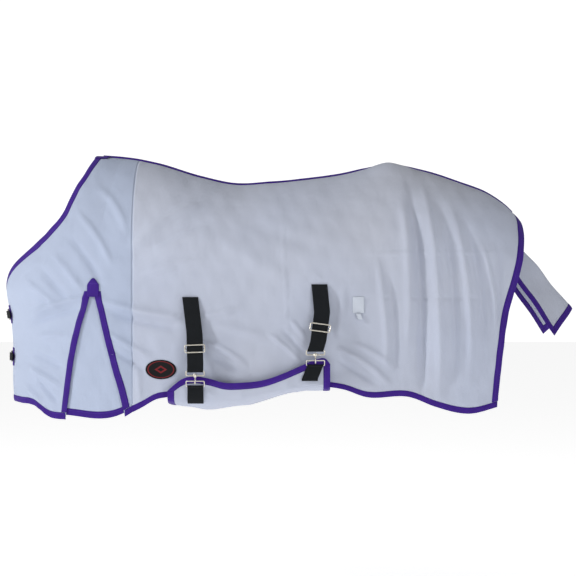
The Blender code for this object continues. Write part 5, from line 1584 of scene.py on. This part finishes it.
@dataclass
class Trims:
    """The oval badge on the near side and the leg strap patch and loop on each flank."""

    badge_at: tuple[float, float] = (0.2115, -0.7034)
    badge_half: tuple[float, float] = (0.050, 0.031)
    loop_at: tuple[float, float] = (0.844, -0.496)
    loop_half: tuple[float, float] = (0.0185, 0.0265)

    def badge(self) -> None:
        """An oval disc with a rolled rim, on polar coordinates."""
        radius = np.concatenate([np.linspace(0.0, 0.92, 14), [0.96, 0.99, 1.0]])[:, None]
        turn = np.linspace(0, TURN, 73)[None, :]
        u = self.badge_half[0] * radius * np.cos(turn)
        v = self.badge_half[1] * radius * np.sin(turn)
        dome = 0.0006 * np.sqrt(np.clip(1 - radius**6, 0, 1)) + 0 * turn
        lift = CLOTH / 2 + FIT + PATCH / 2
        grid = on_body(self.badge_at[0] + u, self.badge_at[1] + v, Side.LEFT, lift + dome)
        outward = np.broadcast_to(np.array([0.0, -1.0, 0.0]), grid.shape).reshape(-1, 3)
        index = np.arange(grid[..., 0].size).reshape(grid.shape[:2])
        index[:, -1] = index[:, 0]
        index[0] = index[0, 0]
        quads = np.stack([index[:-1, :-1], index[1:, :-1], index[1:, 1:], index[:-1, 1:]], axis=-1)
        quads = quads.reshape(-1, 4)
        quads[:72] = quads[:72][:, [1, 2, 3, 3]]
        used, faces = np.unique(quads, return_inverse=True)
        uv = np.stack([u, v], axis=-1).reshape(-1, 2)
        piece = shell("badge_face", grid.reshape(-1, 3)[used], faces.reshape(-1, 4), uv[used], PATCH,
                      Slot.BADGE, outward[used])
        place(piece, "rug", "badge")

    def leg_loop(self, side: Side) -> None:
        """A patch of webbing, and a narrow loop that hangs from its lower edge."""
        (x0, z0), (half_w, half_h) = self.loop_at, self.loop_half
        u, v = np.meshgrid(np.linspace(-half_w, half_w, 12), np.linspace(-half_h, half_h, 16))
        lift = CLOTH / 2 + 2 * FIT + PATCH / 2
        grid = on_body(x0 + u, z0 + v, side, lift)
        name = f"loop_patch_{side.word}"
        outward = np.array([0.0, float(side.value), 0.0])
        place(grid_shell(name + "_cover", grid, PATCH, Slot.WHITE, outward), "rug", name)
        ends = on_body(np.array([x0 - half_w, x0 + half_w]), np.array([z0, z0]), side, lift)
        lie = unit(ends[1] - ends[0])
        out = unit(np.cross(lie, [0, 0, 1.0]))
        out = out * side.value * np.sign(out[1])
        base = on_body(x0, z0, side, lift)
        edge = -half_h - 0.0008
        stops = np.array([(-0.002, edge, 0.0), (0.001, -0.034, 0.0006), (0.004, -0.043, 0.0024),
                          (0.0055, -0.0465, 0.0048), (0.0050, -0.0455, 0.0072),
                          (0.002, -0.037, 0.0068), (-0.001, edge, 0.0042)])
        path = base + stops[:, :1] * lie + stops[:, 1:2] * np.array([0, 0, 1.0]) + stops[:, 2:] * out
        name = f"leg_loop_{side.word}"
        place(ribbon(name + "_webbing", rounded(path, 50, 3), lie, 0.015, 0.0010, Slot.WHITE), "rug", name)


# --- Studio --------------------------------------------------------------------------------------
@dataclass
class Studio:
    """A white floor and world, soft lights, and the camera square to the near side."""

    eye: tuple[float, float, float] = (0.619, -5.0, -0.442)
    lens: float = 92.0
    floor: float = -1.50
    white: float = 0.85
    glow: float = 0.72
    sky_seen: float = 1.1
    sky_light: float = 0.24

    def ground(self) -> None:
        """A wide white floor, the same from every side, that glows a little so that it stays white."""
        x, y = np.meshgrid([-24.0, 25.0], [-24.0, 24.0], indexing="ij")
        points = np.stack([x, y, np.full_like(x, self.floor)], axis=-1).reshape(-1, 3)
        mesh = bpy.data.meshes.new("studio_floor")
        mesh.from_pydata(points.tolist(), [], [(0, 2, 3, 1)])
        piece = bpy.data.objects.new("studio_floor", mesh)
        bpy.context.scene.collection.objects.link(piece)
        board = Board("studio_white", 0.9)
        board.shader.inputs["Base Color"].default_value = (self.white, self.white, self.white, 1.0)
        board.shader.inputs["Emission Color"].default_value = (1.0, 1.0, 1.0, 1.0)
        board.shader.inputs["Emission Strength"].default_value = self.glow
        mesh.materials.append(board.material)

    def sky(self) -> None:
        """A world that the camera sees as white, and that lights the object more dimly."""
        world = bpy.data.worlds.new("studio_world")
        world.use_nodes = True
        nodes, links = world.node_tree.nodes, world.node_tree.links
        path, level = nodes.new("ShaderNodeLightPath"), nodes.new("ShaderNodeMapRange")
        level.inputs["To Min"].default_value = self.sky_light
        level.inputs["To Max"].default_value = self.sky_seen
        links.new(path.outputs["Is Camera Ray"], level.inputs["Value"])
        nodes["Background"].inputs["Color"].default_value = (1.0, 1.0, 1.0, 1.0)
        links.new(level.outputs["Result"], nodes["Background"].inputs["Strength"])
        bpy.context.scene.world = world

    def light(self, name: str, at: tuple[float, float, float], size: float, power: float) -> None:
        """A square area light that faces the middle of the sheet."""
        lamp = bpy.data.lights.new(name, "AREA")
        lamp.size, lamp.energy = size, power
        piece = bpy.data.objects.new(name, lamp)
        piece.location = at
        aim = Vector((self.eye[0], 0.0, self.eye[2])) - Vector(at)
        piece.rotation_euler = aim.to_track_quat("-Z", "Y").to_euler()
        bpy.context.scene.collection.objects.link(piece)

    def build(self) -> None:
        """World, floor, lights and camera."""
        self.ground()
        self.sky()
        self.light("key", (-3.6, -1.9, 1.5), 0.5, 138.0)
        self.light("fill", (3.4, -4.2, 0.6), 1.8, 60.0)
        self.light("top", (0.9, -0.9, 3.2), 2.0, 16.0)
        bpy.context.scene.view_settings.view_transform = "Standard"
        lens = bpy.data.cameras.new("camera")
        lens.lens = self.lens
        camera = bpy.data.objects.new("camera", lens)
        camera.location = self.eye
        camera.rotation_euler = (math.pi / 2, 0.0, 0.0)
        bpy.context.scene.collection.objects.link(camera)
        bpy.context.scene.camera = camera


SURCINGLES = (
    Surcingle("front", (0.3065, -0.471), ((0.3215, -0.585), (0.3250, -0.690)), (0.3245, -0.7055),
              -0.635, 0.048, 0.0),
    Surcingle("rear", (0.7190, -0.4305), ((0.7275, -0.520), (0.7150, -0.612)), (0.7060, -0.6395),
              -0.568, 0.043, -0.018),
)


def main() -> None:
    """Builds every sub-assembly in order and hands it to the frame."""
    logging.basicConfig(level=logging.INFO, format="%(name)s: %(message)s")
    for slot, look in FINISHES.items():
        MATERIALS[slot] = look.build(slot.value + "_look")
    Studio().build()
    topline = Topline()
    topline.tape()
    topline.patch()
    trims = Trims()
    for side in Side:
        half = BodyHalf(side)
        half.panel()
        half.tapes()
        front = ShoulderHalf(side)
        front.panel()
        front.tapes()
        front.gusset()
        front.cap()
        trims.leg_loop(side)
    trims.badge()
    BellyFlap().build()
    for surcingle in SURCINGLES:
        surcingle.build()
    for word, level in (("upper", -0.530), ("lower", -0.672)):
        ChestFastening(word, level).build()
    TailFlap().build()


if __name__ == "__main__":
    main()
